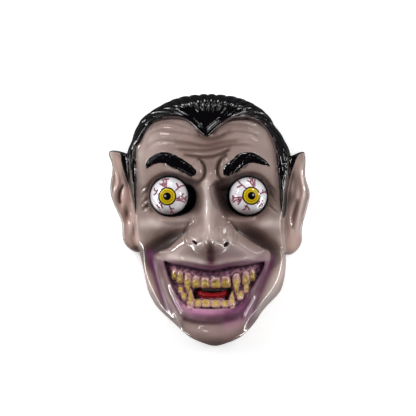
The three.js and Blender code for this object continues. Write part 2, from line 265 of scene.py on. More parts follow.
HAIR = curve(HAIRLINE + HAIR_BESIDE_RIGHT_EAR + BEYOND_THE_CROWN + HAIR_BESIDE_LEFT_EAR, closed=True)
FAN = (-1.0, 88.0)  # the locks fan out from here
HAIR_RISE, HAIR_ROLL, NOTCHES = 1.6, 2.7, 1.6
LOCKS = [  # degrees about the peak, lock number
    (0, 0), (12, 1), (26, 2), (39, 3), (49, 4), (59, 5), (70, 6), (82, 7), (95, 8), (120, 9), (180, 12),
]


def from_fan(x, y):
    """Angle in degrees and distance of a place from where the locks fan out."""
    return np.degrees(np.arctan2(np.abs(x - FAN[0]), y - FAN[1])), np.hypot(x - FAN[0], y - FAN[1])


def lock_number(x, y, hair, edge):
    """Which lock of hair a place is on: whole numbers are the grooves that reach the outline."""
    angle, _ = from_fan(x, y)
    across = np.clip(hair, 0, None) / (np.clip(hair, 0, None) + np.clip(edge, 0.5, None))
    return read_along(LOCKS, angle) + 2.6 * smooth(5, 85, angle) * (1 - across)


def groove_depth(x, y, hair, edge):
    """How far the grooves between the locks bite in from the outline of the crown."""
    lock = lock_number(x, y, hair, edge)
    return NOTCHES * np.abs(2 * (lock % 1) - 1) ** 3 * smooth(70, 100, y)


def hair_height(x, y, hair, edge):
    """How far the hair stands proud of the head."""
    cap = smooth(-0.5, 1.3, hair)
    lock = lock_number(x, y, hair, edge)
    crest = 1 - np.abs(2 * (lock % 1) - 1) ** 2.2
    strand = 1 - np.abs(2 * ((lock * 3.0 + 0.2 * np.sin(y * 0.3)) % 1) - 1) ** 2
    angle, distance = from_fan(x, y)
    away = smooth(8, 42, distance)
    deep = 0.9 + 1.7 * smooth(40, 14, edge) * smooth(96, 66, angle)
    roll = HAIR_ROLL * smooth(0.2, 3.0, hair) * smooth(9, 3.6, hair)
    return cap * (HAIR_RISE + away * (deep * crest + 0.12 * strand) + roll)


print("hair outline:", len(HAIR), "sides")

# %% [markdown]
# ## Forehead and brows
#
# The forehead is furrowed: soft grooves that run across it and dip under the peak. The brows are raised
# bands with bristles drawn along them, and between them the skin is bunched up in two deep folds.

# %% Forehead and brows
FURROWS = [  # line, half width, depth
    ([(-59, 89), (-53, 94.5), (-45, 97), (-33, 95.5), (-19, 90)], 1.7, 0.8),
    ([(-64, 78), (-59, 85), (-51, 89), (-41, 88.5), (-25, 86), (-9, 82.5)], 1.8, 1.0),
    ([(-10, 85.5), (-3.5, 82), (3.5, 81.5), (11.5, 83.5), (19.5, 88)], 1.6, 1.6),
    ([(-65, 66), (-60.5, 73.5), (-54, 78), (-46, 79.5), (-33, 78.5), (-19, 76.5), (-5.5, 74), (3.5, 75),
      (13.5, 77.5), (27.5, 79), (44, 78)], 1.9, 1.1),
    ([(-41, 69.5), (-29, 70), (-17, 69), (-4.5, 69), (7.5, 71), (21.5, 74), (37.5, 74.5), (50, 71.5)],
     1.9, 1.1),
    ([(-26, 65.5), (-16, 63.5), (-5.5, 62.5), (4.5, 63.5), (14.5, 67), (24.5, 72.5)], 1.7, 1.5),
    ([(13.5, 94), (23.5, 95.5), (38, 94.5), (50, 90)], 1.7, 0.8),
    ([(17.5, 86), (29.5, 88), (44, 86), (53, 80)], 1.8, 0.8),
    ([(-46, 57.5), (-42, 52.5), (-37, 48.5)], 1.2, 0.8),
    ([(35.5, 56.5), (30.5, 52.5), (26.5, 47.5)], 1.2, 0.8),
    ([(0.5, 60.5), (1.5, 52.5), (0.5, 44.5)], 1.6, 0.6),
    ([(-60.5, 34.5), (-65.5, 32.5), (-69, 28.5)], 1.2, 0.8),
    ([(-60.5, 29.5), (-65.5, 26.5), (-69.5, 21)], 1.2, 0.9),
    ([(-60.5, 22), (-64.5, 19), (-69, 14)], 1.2, 0.9),
    ([(-59.5, 15), (-63.5, 13), (-67, 9)], 1.4, 1.3),
    ([(60.5, 34.5), (65.5, 31.5), (68.5, 26.5)], 1.2, 0.8),
    ([(61.5, 26.5), (65.5, 22), (68.5, 16)], 1.2, 0.8),
    ([(60.5, 15), (65.5, 10), (71, 6)], 1.3, 1.1),
]
TEMPLE = 60  # furrows that start further out than this are shallower
FURROW_STEP = 3.0  # from a furrow up to the soft ridge above it
FROWN_FOLDS = [
    [(-11, 61.5), (-5.5, 56.5), (-4, 50.5), (-5, 43.5), (-10, 38)],
    [(15.5, 65.5), (11, 58.5), (9.5, 51.5), (10, 45.5), (13.5, 39.5)],
]
BROW_LEFT = curve([
    (-64.2, 54.4), (-62.2, 60.4), (-58.2, 63.9), (-54.1, 66.4), (-49.1, 68.2), (-43, 68.5), (-37, 67),
    (-30.9, 63.9), (-24.9, 60.4), (-18.8, 56.4), (-14.8, 52.4), (-12.3, 49.3), (-13.3, 45.3), (-16.8, 44.3),
    (-21.9, 46.3), (-26.9, 49.3), (-31.9, 51.4), (-38, 54.4), (-44, 56.9), (-49.1, 57.4), (-54.1, 56.4),
    (-59.2, 53.9), (-62.7, 51.9),
], closed=True)
BROW_RIGHT = curve([
    (14.4, 48.3), (15.4, 54.4), (19.5, 57.9), (23.5, 60.9), (27.5, 65), (32.6, 67.5), (38.6, 68.5),
    (45.7, 67.5), (51.7, 64.5), (56.8, 60.9), (60.3, 57.4), (62.2, 54), (57.8, 55.2), (52.7, 55.9),
    (47.7, 57.2), (42.6, 57.7), (38.6, 56.2), (34.6, 53.8), (30.5, 50.3), (27.5, 47.5), (23.5, 46.8),
    (21.5, 44.3), (17.4, 44.6), (15.4, 45.3),
], closed=True)


def tuft(x, hangs, slope, middle):
    """A loose strand that hangs from the lower edge of a brow: its points, on the brow's slope."""
    return [(x + dx, y + slope * (x - middle)) for dx, y in hangs]


BROW_TUFTS = [
    tuft(x, [(0, 57.8), (3.2, 54.6), (5.6, 50.2)], -0.47, -44) for x in range(-45, -18, 3)
] + [
    tuft(x, [(0, 58.5), (-2.6, 54.5), (-4.6, 50)], 0.58, 43) for x in range(22, 44, 3)
]
BROW_LINES = [
    curve([(-66, 50), (-58, 59.5), (-48, 63.5), (-36, 61.5), (-24, 54), (-12, 44)]),
    curve([(14, 43), (20, 54), (30, 60.5), (42, 63), (54, 60), (66, 51)]),
]


def forehead_height(x, y):
    rise = np.zeros(x.shape)
    for line, half, depth in FURROWS:
        deep = depth * (1.5 if abs(line[0][0]) < TEMPLE else 0.9)
        above = [(px, py + FURROW_STEP) for px, py in line]
        rise -= deep * stroke(line, half, x, y)
        rise += 0.6 * deep * stroke(above, 0.9 * half, x, y)
    for line in FROWN_FOLDS:
        rise -= 3.2 * stroke(line, 2.1, x, y)
    rise += 3.2 * swell((-10.5, 49), (3.8, 4.8), -15, x, y)
    rise += 2.2 * swell((15.5, 58), (3.2, 9), 38, x, y)
    return rise


def brow_height(x, y, brow):
    """The raised brows and their bristles."""
    rise = 2.2 * smooth(-0.8, 3.0, brow)
    for line in BROW_LINES:
        close = near(line, 12, x, y)
        distance, share = to_line(line, False, x[close], y[close])
        bristle = np.sin(distance * 2.2 + 26 * share) * (0.3 + 0.42 * np.sin(90 * share - distance))
        rise[close] += bristle * smooth(0, 2, brow[close])
    return rise


print("furrows:", len(FURROWS))

# %% [markdown]
# ## Eye pockets
#
# Each ball sits in a pocket. The face falls towards the ball all round like an eyelid, stays about a
# millimetre clear of it, and drops into a deep black corner on the side of the nose.

# %% Eye pockets
EYES = [(-40.0, 24.2), (40.0, 24.2)]
EYE_Z, EYE_RADIUS, EYE_GAP = 51.0, 19.2, 0.9
POCKETS = [
    curve([
        (-60.2, 24), (-58.3, 33), (-52.5, 40.4), (-44, 44.2), (-34, 43.4), (-24.5, 38.9), (-16.5, 34.5),
        (-12.6, 28), (-12.3, 21), (-14.2, 14), (-19, 8.5), (-27, 4.6), (-38.5, 2.8), (-50, 5.8), (-57, 13.5),
    ], closed=True),
    curve([
        (17.6, 27), (20.5, 34.5), (27, 40.5), (36, 44.3), (46, 43.8), (55, 38.5), (60.2, 28), (60.4, 18),
        (56.5, 10.5), (49, 4.8), (40, 3.0), (30.5, 4.6), (22.5, 10), (18.2, 18),
    ], closed=True),
]
SOCKETS = [
    curve([
        (-62.5, 24), (-59.5, 34.5), (-52.5, 42), (-43.5, 46), (-33, 45.5), (-22, 41.5), (-14, 37.5),
        (-8.5, 29), (-8.2, 19), (-11.5, 9.5), (-19, 4), (-29, 1.5), (-40, 0.5), (-51.5, 3), (-59, 12),
    ], closed=True),
    curve([
        (3.5, 32), (10.5, 38), (21.5, 42), (33, 46), (45, 46), (55, 41.5), (61.5, 32.5), (63, 22),
        (60, 11.5), (52.5, 4), (42, 1), (32, 0.5), (21, 3), (12.5, 9.5), (7, 18.5),
    ], closed=True),
]


def pocket_height(top, x, y, pocket):
    """The face with its eye pockets let in."""
    for k, (ex, ey) in enumerate(EYES):
        out = np.hypot(x - ex, y - ey)
        lid = EYE_Z + 0.8 + 1.9 * np.maximum(out - EYE_RADIUS - EYE_GAP, 0)
        top = soft_min(top, lid, 4)
        socket = inside(SOCKETS[k], x, y, 40)
        hollow = EYE_Z + 8 - 1.4 * np.clip(socket + 1, 0, 11) + 2.6 * np.maximum(-1 - socket, 0)
        top = soft_min(top, hollow, 4)
        ball = (EYE_RADIUS + EYE_GAP) ** 2 - out**2
        under = EYE_Z - np.sqrt(np.maximum(ball, 0))
        top = np.where(ball > 0, np.minimum(top, under), top)
    return top - 5.0 * smooth(0.5, 5, pocket)


print("pocket outlines:", [len(line) for line in POCKETS])

# %% [markdown]
# ## Nose, cheeks and folds
#
# The nose has a round bridge, a heavy tip and two flared wings. Below each cheekbone the cheek is
# hollow, and the muzzle stands proud of it along a crisp fold that runs from the wing of the nose
# round the mouth to the chin. More folds run beside the mouth, and the jaw has a crisp ridge on each
# side, beyond which the sheet slopes away to the wall.

# %% Nose and cheeks
NOSE_LINE = [(50, 0), (34, -0.5), (10, 0), (-8, 0.3), (-20, 0.8), (-30, 1.2), (-50, 2)]
NOSE_CREST = [
    (50, 0), (40, 3), (33, 6.5), (20, 10.4), (12, 14.1), (0, 20.2), (-12, 26), (-20, 28.4), (-27, 22.4),
    (-33, 9.4), (-42, 0),
]
NOSE_HALF_WIDTHS = [(50, 7), (33, 8.5), (20, 8.5), (5, 10), (-10, 11.5), (-22, 12), (-45, 12)]
WING_CREASES = [
    [(-17, -2), (-21.5, -8), (-23.5, -15), (-22, -21), (-17, -25.5)],
    [(18.5, 1), (23.5, -5), (27, -12), (27, -19), (23, -25.5)],
]
FOLDS = [
    [(-18, -6), (-22, -11), (-28, -16.5), (-35, -23), (-41, -28.5), (-49.5, -31.5), (-55.5, -36),
     (-56.5, -43), (-54, -53), (-51, -65.5), (-47, -81), (-39, -97)],
    [(20.5, -4), (25.5, -9), (34, -15), (44, -22), (54, -28), (61.5, -32), (63, -39), (60, -48.5),
     (55, -60.5), (49.5, -73.5), (45, -87), (41, -100)],
]
UNDER_CHIN, UNDER_NOSE = [(-22, -105), (6, -108), (28, -107)], [(10, -14), (0, -18), (-8, -14)]
MUZZLE = curve(FOLDS[0] + UNDER_CHIN + FOLDS[1][::-1] + UNDER_NOSE, closed=True)
PURPLE_FOLDS = [
    [(-59, -35), (-56.5, -47), (-53.5, -60.5), (-49.5, -73.5), (-44, -89), (-37, -103)],
    [(64.5, -38), (61.5, -50), (56, -64), (50.5, -77), (45.5, -90), (41, -102.5)],
]
JAW_LINES = [  # crisp ridges where the front of the face turns into the jaw's side
    [(-65.7, -18.4), (-66.1, -40.7), (-63.1, -58), (-57.5, -71.2), (-48.8, -87), (-37.7, -100.2),
     (-28.1, -108.7)],
    [(74.4, -29.6), (75.2, -40.7), (72.4, -53.9), (68.3, -65.1), (59.2, -78.3), (50.5, -89.5),
     (41.9, -100.2), (34.8, -113.4)],
]
LIP_RIDGES = [
    [(-39, -62), (-36.5, -70), (-32.5, -79.5), (-27.5, -90), (-22, -98)],
    [(-35, -93), (-31, -101), (-26, -109)],
    [(47, -74), (42, -83), (37, -92), (33, -100)],
]
MOUTH_FOLDS = [
    [(-49, -42.5), (-46, -56.5), (-41, -72), (-33, -87), (-26, -99.5)],
    [(56, -46.5), (53, -58.5), (47.5, -71.5), (41, -86), (35, -99.5)],
]


def nose_height(x, y):
    across = np.abs(x - read_along(NOSE_LINE, y)) / read_along(NOSE_HALF_WIDTHS, y)
    rise = read_along(NOSE_CREST, y) * np.exp(-(across**2.2))
    rise += 5.4 * swell((0.5, -16), (9.5, 9.5), 0, x, y)
    rise += 5.8 * swell((-15.5, -15.5), (8, 9.5), 12, x, y) + 5.8 * swell((19, -14.5), (8, 10), -12, x, y)
    for line in WING_CREASES:
        rise -= 2.8 * stroke(line, 1.9, x, y)
    rise -= 2.0 * stroke([(-10.5, -8), (-11, -15), (-9, -22)], 3.0, x, y)
    rise -= 2.0 * stroke([(12.5, -6), (13, -14), (11.5, -22)], 3.0, x, y)
    return rise


def jaw_fall(x, y):
    """How far the sheet falls away beyond the crisp ridges of the jaw."""
    fall = np.zeros(x.shape)
    for line, way in zip(JAW_LINES, (-1, 1)):
        beyond = (x - read_along([(py, px) for px, py in line], y)) * way
        fall += 0.75 * (np.hypot(beyond, 1.8) + beyond)
    return fall * smooth(-18, -34, y) * smooth(-116, -104, y)


def cheek_height(x, y, muzzle):
    rise = 3.6 * swell((-52, -6), (11, 8), -12, x, y) + 2.6 * swell((55, -7), (12, 8), 12, x, y)
    rise += 2.0 * stroke([(-51, 2), (-39, -1.5), (-26, -1.5), (-16, 1)], 3.2, x, y)
    rise += 2.0 * stroke([(13.5, 1), (23.5, -0.5), (36.5, -1.5), (50, 1)], 3.2, x, y)
    rise -= 8.0 * swell((-43, -20), (19, 10), 32, x, y) + 8.0 * swell((46, -20), (20, 10), -32, x, y)
    beside_nose = 2.2 * smooth(-2.4, 5.5, muzzle) * smooth(-38, -20, y)
    round_mouth = 3.6 * smooth(-2, 17, muzzle) * smooth(-106, -70, y)
    rise += beside_nose + round_mouth
    for line in PURPLE_FOLDS:
        rise -= 1.1 * stroke(line, 3.4, x, y)
    rise -= jaw_fall(x, y)
    for line in LIP_RIDGES:
        rise += 1.8 * stroke(line, 1.8, x, y)
    for line in MOUTH_FOLDS:
        rise -= 0.9 * stroke(line, 2.8, x, y)
    return rise


print("folds:", len(FOLDS + PURPLE_FOLDS + MOUTH_FOLDS))

# %% [markdown]
# ## Mouth
#
# The mouth is bared. Inside the lips the sheet steps back; the gums swell out of that floor, uneven and
# nubbed, the teeth stand out of the gums one by one, and the tongue lies between the rows. Each tooth is
# its place, its half size, and whether it is one of the four long ones that come to a point.

# %% Lips, teeth and tongue
MOUTH = curve([
    (-44.5, -42), (-37, -44), (-27, -45.5), (-17, -47.5), (-6.5, -49.5), (3.5, -50.5), (13.5, -48.5),
    (23.5, -46.5), (35.5, -45.5), (46.5, -43.5), (56, -43), (54.5, -50.5), (49.5, -59.5), (43.5, -69.5),
    (37.5, -78.5), (30.5, -86.2), (23.5, -89), (13.5, -89.4), (3.5, -90), (-8.5, -89.5), (-19, -88.5),
    (-26, -84.5), (-32, -76.5), (-38, -64.5), (-42.5, -52.5),
], closed=True)
TONGUE = curve([
    (-11.6, -74.5), (-9.8, -71.8), (-6.8, -72.2), (-3, -73.6), (4.5, -74.2), (11.5, -73.4), (15, -72),
    (17.6, -72.4), (18.8, -75), (16.8, -78.2), (9.5, -79), (-2.5, -79), (-9.5, -78),
], closed=True)
CAVITY = curve([
    (-15, -70.5), (-10, -69), (0, -69.2), (10, -69), (18, -68.8), (23.8, -70), (24.2, -73.5), (21, -76.5),
    (20, -80.5), (17.2, -81.6), (14.5, -79.4), (-0.7, -79.8), (-9, -79.2), (-11.8, -81.4), (-14.4, -80.4),
    (-15.4, -75),
], closed=True)
UPPER_TEETH = [  # x, y, half width, half height, is it pointed
    (-34.7, -55.2, 2.7, 5.2, False), (-29.2, -58.0, 3.2, 5.9, False), (-21.2, -64.4, 4.0, 10.0, True),
    (-13.0, -62.9, 4.2, 5.4, False), (-3.7, -63.5, 4.8, 5.0, False), (7.2, -63.6, 5.1, 5.1, False),
    (17.5, -62.9, 4.4, 5.5, False), (28.1, -65.2, 3.9, 10.2, True), (37.8, -59.4, 3.8, 6.8, False),
    (44.4, -56.0, 2.7, 5.6, False),
]
LOWER_TEETH = [
    (-28.4, -71.0, 2.7, 3.3, False), (-25.0, -77.3, 2.8, 3.7, False), (-18.2, -79.6, 3.9, 10.0, True),
    (-10.9, -84.3, 3.3, 4.1, False), (-2.6, -84.4, 4.5, 3.7, False), (7.4, -84.9, 4.9, 3.8, False),
    (16.5, -85.0, 3.7, 3.5, False), (23.6, -80.6, 3.4, 8.0, True), (32.0, -76.3, 3.4, 4.6, False),
    (38.2, -69.8, 2.6, 4.1, False),
]
GUMS = [  # line, half width, rise
    ([(-42, -47), (-34, -49.5), (-22, -53), (-8, -55.5), (4, -56.5), (16, -55.5), (30, -52.5), (44, -48),
      (52, -46)], 4.2, 3.6),
    ([(-34, -66), (-28, -80), (-16, -88), (4, -88.8), (22, -87.5), (34, -80), (42, -66)], 4.2, 3.6),
]
UPPER_LIP = [(-40, -39.5), (-24, -40.5), (-7, -43.5), (3.5, -45.5), (15, -43), (31, -40.5), (46, -39.5)]
PHILTRUM = [(0.5, -30), (1.5, -38), (2.8, -45)]
LOWER_LIP = [(-30, -87), (-20, -92.5), (-8, -95), (4, -95.5), (16, -95), (26, -92), (36, -84)]
CHIN_GROOVE = [(-32, -98), (-18, -102.5), (-2, -104), (12, -104), (26, -101.5), (38, -95)]


def tooth_shape(x, y, tooth, tip):
    """1 in the middle of a tooth, 0 at its edge, less outside; and how near its tip a place is."""
    tx, ty, half_wide, half_tall, pointed = tooth
    v = (y - ty) / (half_tall * 1.08) * tip
    narrow = 1 - 0.72 * smooth(-0.5, 1.05, v) if pointed else 1 - 0.1 * smooth(0.3, -1, v)
    u = (x - tx) / (half_wide * 1.14 * narrow)
    power = 2.6 if pointed else 3.4
    return 1 - (np.abs(u) ** power + np.abs(v) ** power) ** (1 / power), v


def teeth_shape(x, y):
    """The shape of all the teeth, how much yellow is on them, and the gum that swells at their roots."""
    shape, yellow, gum = np.full(x.shape, -9.0), np.full(x.shape, -9.0), np.zeros(x.shape)
    for teeth, tip in ((UPPER_TEETH, -1), (LOWER_TEETH, 1)):
        for tooth in teeth:
            tx, ty, half_wide, half_tall, _ = tooth
            close = (np.abs(x - tx) < 4 * half_wide) & (np.abs(y - ty) < 3 * half_tall)
            own, along = tooth_shape(x[close], y[close], tooth, tip)
            wins = own > shape[close]
            yellow[close] = np.where(wins, own + 0.3 * along, yellow[close])
            shape[close] = np.maximum(own, shape[close])
            gum += swell((tx, ty - 0.95 * half_tall * tip), (0.95 * half_wide, 2.4), 0, x, y)
    return shape, yellow, np.minimum(gum, 1)


def nubs(x, y):
    """The uneven gums: small bulges and pits, from -1 to 1."""
    return np.sin(x * 0.75 + 1.5 * np.sin(y * 0.55)) * np.sin(y * 0.7 + 1.4 * np.sin(x * 0.37))


def mouth_height(x, y, at):
    rise = 4.0 * stroke(LOWER_LIP, 5.6, x, y, 0.3) - 4.4 * stroke(CHIN_GROOVE, 6.5, x, y, 0.35)
    rise += 2.3 * stroke(UPPER_LIP, 2.4, x, y, 0.25)
    rise -= 1.6 * stroke(PHILTRUM, 2.6, x, y)
    rise += 4.5 * swell((6, -119), (26, 9), 0, x, y)
    floor = -9.0 * smooth(-0.6, 2.2, at["mouth"])
    for line, half, height in GUMS:
        floor += height * stroke(line, half, x, y, 0.1) * smooth(0.5, 2.5, at["mouth"])
    floor += 2.0 * at["gum"] * smooth(0.3, 2.0, at["mouth"])
    floor += 0.8 * nubs(x, y) * smooth(0.5, 2.5, at["mouth"])
    floor += 1.6 * smooth(-0.55, -0.1, at["tooth"]) * smooth(0.3, 2.5, at["mouth"])
    floor -= 3.6 * smooth(-0.4, 1.6, at["cavity"])
    floor += 4.6 * smooth(-0.3, 3.0, at["tongue"])
    floor += 2.2 * (swell((-8.5, -73.5), (2.6, 2.2), 0, x, y) + swell((16, -73.5), (2.6, 2.2), 0, x, y))
    floor += 4.4 * np.clip(at["tooth"] * 1.7, 0, 1) ** 0.6
    return rise + floor


print("teeth:", len(UPPER_TEETH + LOWER_TEETH))

# %% [markdown]
# ## Ears
#
# The ears are drawn in the same sheet. Each is a low plate with a rolled edge, a second ridge inside it,
# a hollow in the middle and a lobe.

# %% Ears
EAR_PLATE, EAR_BODY, EAR_INSET, EAR_WALL = 13.0, 7.0, 2.0, 9.0
EAR_RIDGES = [  # line, half width, rise
    ([(-101, 70), (-100.5, 60), (-100, 50), (-101, 40), (-102, 32), (-100, 20), (-96, 10), (-92.5, 2),
      (-90, -10), (-88, -20)], 2.6, 2.4),
    ([(-98, 56), (-94.5, 46), (-93.5, 38), (-95.5, 32), (-97, 24), (-95.5, 12)], 2.2, 2.2),
    ([(-92, 8), (-88.5, -3), (-87.7, -12), (-86, -24)], 2.3, 1.8),
    ([(-80, 14), (-79, 3), (-78.7, -8), (-77.5, -22)], 2.5, 1.8),
    ([(99, 68), (101, 56), (101, 46), (103.5, 36), (104.5, 28), (102.5, 18), (99, 6), (96.5, -6),
      (96, -20)], 2.6, 2.2),
    ([(94, 64), (94, 52), (96, 40), (97.5, 30), (96, 20), (93, 10), (91, 0), (90.7, -12), (89, -24)],
     2.3, 2.2),
    ([(84, 12), (83.8, -4), (84.5, -22)], 2.4, 1.6),
]
RIGHT_EAR_SLOT = [(92, 20), (90.3, 12), (88, 3), (87, -8)]
EAR_DIPS = [  # line, half width, depth
    ([(-86, 38), (-89.5, 34), (-92, 28), (-92.5, 20), (-90, 13), (-86, 11)], 1.7, 3.0),
    ([(-86.5, 16), (-85.5, 9), (-84.6, 1), (-84, -8)], 3.4, 3.6),
    ([(-99, 58), (-97.4, 44), (-98.2, 30)], 1.4, 1.4),
    ([(-91, 58), (-87, 47), (-82, 33.5), (-77.5, 19), (-75.5, 4)], 1.8, 3.0),
    ([(88, 50), (88.5, 36), (88, 20)], 3.4, 2.0),
    (RIGHT_EAR_SLOT, 2.4, 3.2),
    ([(98, 62), (98.3, 46), (100.5, 30)], 1.4, 1.2),
    ([(90.5, 58), (86, 46), (82.5, 30), (81, 15), (81, 0)], 1.8, 3.0),
]
EAR_BULGES = [((-87, 23.5), (4.2, 7), 2.6), ((90.3, 25), (3.6, 7), 2.0)]  # place, half sizes, rise


def ear_height(ear, x, y):
    """Height of an ear's plate, with its ridges and hollows."""
    body = EAR_BODY * smooth(0, EAR_INSET, ear)
    for line, half, rise in EAR_RIDGES:
        body += rise * stroke(line, half, x, y, 0.45)
    for line, half, depth in EAR_DIPS:
        body -= depth * stroke(line, half, x, y, 0.45)
    for place, half_sizes, rise in EAR_BULGES:
        body += rise * swell(place, half_sizes, 0, x, y)
    return soft_min(EAR_WALL * np.maximum(ear, 0), EAR_PLATE + body, 3)


print("ear ridges:", len(EAR_RIDGES), "dips:", len(EAR_DIPS))

# %% [markdown]
# ## The whole relief
#
# One function now gives the height of the sheet's outer face anywhere over the rim, and the distances
# to the painted edges, which the paint needs again later.

# %% Relief
JAW_ROUND, EAR_ROUND, HAIR_ROUND = 3.0, 7.0, 12.0


def survey(x, y):
    """Distances, in millimetres, from a place to the outlines of the face, and the shapes of the teeth."""
    tooth, yellow, gum = teeth_shape(x, y)
    return {
        "edge": inside(HEAD, x, y, 40),
        "hair": inside(HAIR, x, y, 40),
        "brow": np.maximum(inside(BROW_LEFT, x, y), inside(BROW_RIGHT, x, y)),
        "pocket": np.maximum(*(inside(line, x, y) for line in POCKETS)),
        "socket": np.maximum(*(inside(line, x, y) for line in SOCKETS)),
        "muzzle": inside(MUZZLE, x, y, 20),
        "mouth": inside(MOUTH, x, y),
        "tongue": inside(TONGUE, x, y),
        "cavity": inside(CAVITY, x, y),
        "tooth": tooth,
        "yellow": yellow,
        "gum": gum,
        "ear": np.maximum(*(inside(line, x, y, 40) for line in EARS)),
    }


def relief(x, y, at):
    """Height of the outer face above the rim, in millimetres."""
    top = dome(x, y, at["edge"]) + forehead_height(x, y) + nose_height(x, y)
    top += cheek_height(x, y, at["muzzle"])
    top += mouth_height(x, y, at)
    top += brow_height(x, y, at["brow"])
    top += hair_height(x, y, at["hair"], at["edge"])
    top = pocket_height(top, x, y, at["pocket"])
    top += 0.05 * np.sin(x * 0.31 + 1.3 * np.sin(y * 0.17)) * np.sin(y * 0.23 + 0.9 * np.sin(x * 0.21))
    rounding = JAW_ROUND + (EAR_ROUND - JAW_ROUND) * smooth(-36, -18, y)
    rounding += (HAIR_ROUND - EAR_ROUND) * smooth(62, 104, y)
    notched = at["edge"] - groove_depth(x, y, at["hair"], at["edge"])
    height = soft_min(wall(x, y, notched), top, rounding)
    ears = ear_height(at["ear"], x, y)
    return np.maximum(-soft_min(-height, -ears, 2.0), 0)


print("relief ready")

# %% [markdown]
# ## Drawing the sheet down
#
# A flat sheet is clamped, heated and drawn over the form, so that is how the piece is made: a flat grid
# is the sheet, and every point of it is moved. Modelling the face with extrusions couldn't give folds
# and teeth that run into each other, so the grid's points follow the relief instead. The square grid
# is first pressed into a disc and stretched to the trimmed outline, with its lines closer together
# over the mouth and the eyes. A coarser grid inside closes the sheet, and a flat rim joins the two. The
# inner grid is set a little below the lowest outer points round each place, to keep it out of the deep
# folds, so the sheet isn't of one even thickness.

# %% The flat sheet
COLUMNS, ROWS = 256, 292
SHEET = 1.2  # how far in the wall's inner face stands
DROP, LEAST_HEIGHT = 0.6, 0.4  # the inner face: below the lowest outer point near it, and over the rim


def spread(count, weight):
    """Places from -1 to 1, closer together where the weight is high."""
    fine = np.linspace(-1, 1, 2001)
    total = np.concatenate([[0], np.cumsum(weight(fine)[:-1])])
    return np.interp(np.linspace(0, total[-1], count + 1), total, fine)


def outline_reach(angle):
    """Distance from the middle to the trimmed outline, in each direction."""
    dx, dy = np.cos(angle), np.sin(angle)
    furthest = np.zeros(angle.shape)
    for outline in (HEAD, *EARS):
        for a, b in zip(outline, np.roll(outline, -1, 0)):
            side_a = dx * a[1] - dy * a[0]
            side_b = dx * b[1] - dy * b[0]
            crosses = (side_a > 0) != (side_b > 0)
            t = np.where(crosses, side_a / np.where(crosses, side_a - side_b, 1), 0)
            out = dx * (a[0] + t * (b[0] - a[0])) + dy * (a[1] + t * (b[1] - a[1]))
            furthest = np.where(crosses & (out > furthest), out, furthest)
    return furthest


def bump(t, place, width):
    """A soft bump along one line, 1 at its place."""
    return np.exp(-(((t - place) / width) ** 2))


def trimmed_grid():
    """Where each line crossing of the grid lies on the plane of the rim."""
    u = spread(COLUMNS, lambda t: 1 + 1.0 * bump(np.abs(t), 1, 0.07) + 0.25 * bump(t, 0.04, 0.5))
    v = spread(ROWS, lambda t: 1 + 1.0 * bump(np.abs(t), 1, 0.07) + 0.7 * bump(t, -0.52, 0.2)
               + 0.25 * bump(t, 0.18, 0.2))
    u, v = np.meshgrid(u, v)
    x, y = u * np.sqrt(1 - v * v / 2), v * np.sqrt(1 - u * u / 2)
    fine = np.linspace(-math.pi, math.pi, 2881)
    reach = np.interp(np.arctan2(y, x), fine, outline_reach(fine))
    px, py = x * reach, y * reach
    groove = groove_depth(px, py, np.full(px.shape, 30.0), np.full(px.shape, 0.5))
    keep = 1 - groove * smooth(0.9, 1.0, np.hypot(x, y)) / reach
    return px * keep, py * keep


grid_x, grid_y = trimmed_grid()
grid_at = survey(grid_x, grid_y)
grid_z = relief(grid_x, grid_y, grid_at)
grid_z[[0, -1], :] = 0
grid_z[:, [0, -1]] = 0
print("highest point:", round(float(grid_z.max()), 1), "mm")


# %% Grid to mesh


def add_sheet(name, columns, rows, places):
    """A flat grid from the Add menu, with its points moved to their places."""
    bpy.ops.object.select_all(action="DESELECT")
    bpy.ops.mesh.primitive_grid_add(x_subdivisions=columns, y_subdivisions=rows, size=2)
    piece = bpy.context.object
    piece.name = piece.data.name = name
    flat = np.empty(len(piece.data.vertices) * 3)
    piece.data.vertices.foreach_get("co", flat)
    flat = flat.reshape(-1, 3)
    column = np.rint((flat[:, 0] + 1) / 2 * columns).astype(int)
    row = np.rint((flat[:, 1] + 1) / 2 * rows).astype(int)
    piece.data.vertices.foreach_set("co", (places[row, column] * MM).ravel())
    return piece


def lowest_around(height):
    """The lowest of each point and its eight neighbours."""
    padded = np.pad(height, 1, mode="edge")
    rows, columns = height.shape
    return np.min([padded[i:i + rows, j:j + columns] for i in range(3) for j in range(3)], axis=0)


def inner_face():
    """Every second line of the grid, below the lowest outer points near it and in from the wall."""
    x, y = grid_x[::2, ::2], grid_y[::2, ::2]
    low = lowest_around(grid_z)[::2, ::2] - DROP
    edge = np.maximum(grid_at["edge"], grid_at["ear"])[::2, ::2]
    away = np.hypot(x, y)
    shift = 1 - SHEET / np.maximum(away, 20) * smooth(9, 0, edge)
    z = np.maximum(low, LEAST_HEIGHT)
    z[[0, -1], :] = 0
    z[:, [0, -1]] = 0
    return np.stack([x * shift, y * shift, z], axis=-1)


outer = add_sheet("mask", COLUMNS, ROWS, np.stack([grid_x, grid_y, grid_z], axis=-1))
inner = add_sheet("mask_inner", COLUMNS // 2, ROWS // 2, inner_face())
bpy.ops.object.mode_set(mode="EDIT")
bpy.ops.mesh.select_all(action="SELECT")
bpy.ops.mesh.flip_normals()
bpy.ops.object.mode_set(mode="OBJECT")
print("outer faces:", len(outer.data.polygons), "inner faces:", len(inner.data.polygons))

# %% Rim
bpy.ops.object.select_all(action="DESELECT")
inner.select_set(True)
outer.select_set(True)
bpy.context.view_layer.objects.active = outer
bpy.ops.object.join()
mask = bpy.context.object


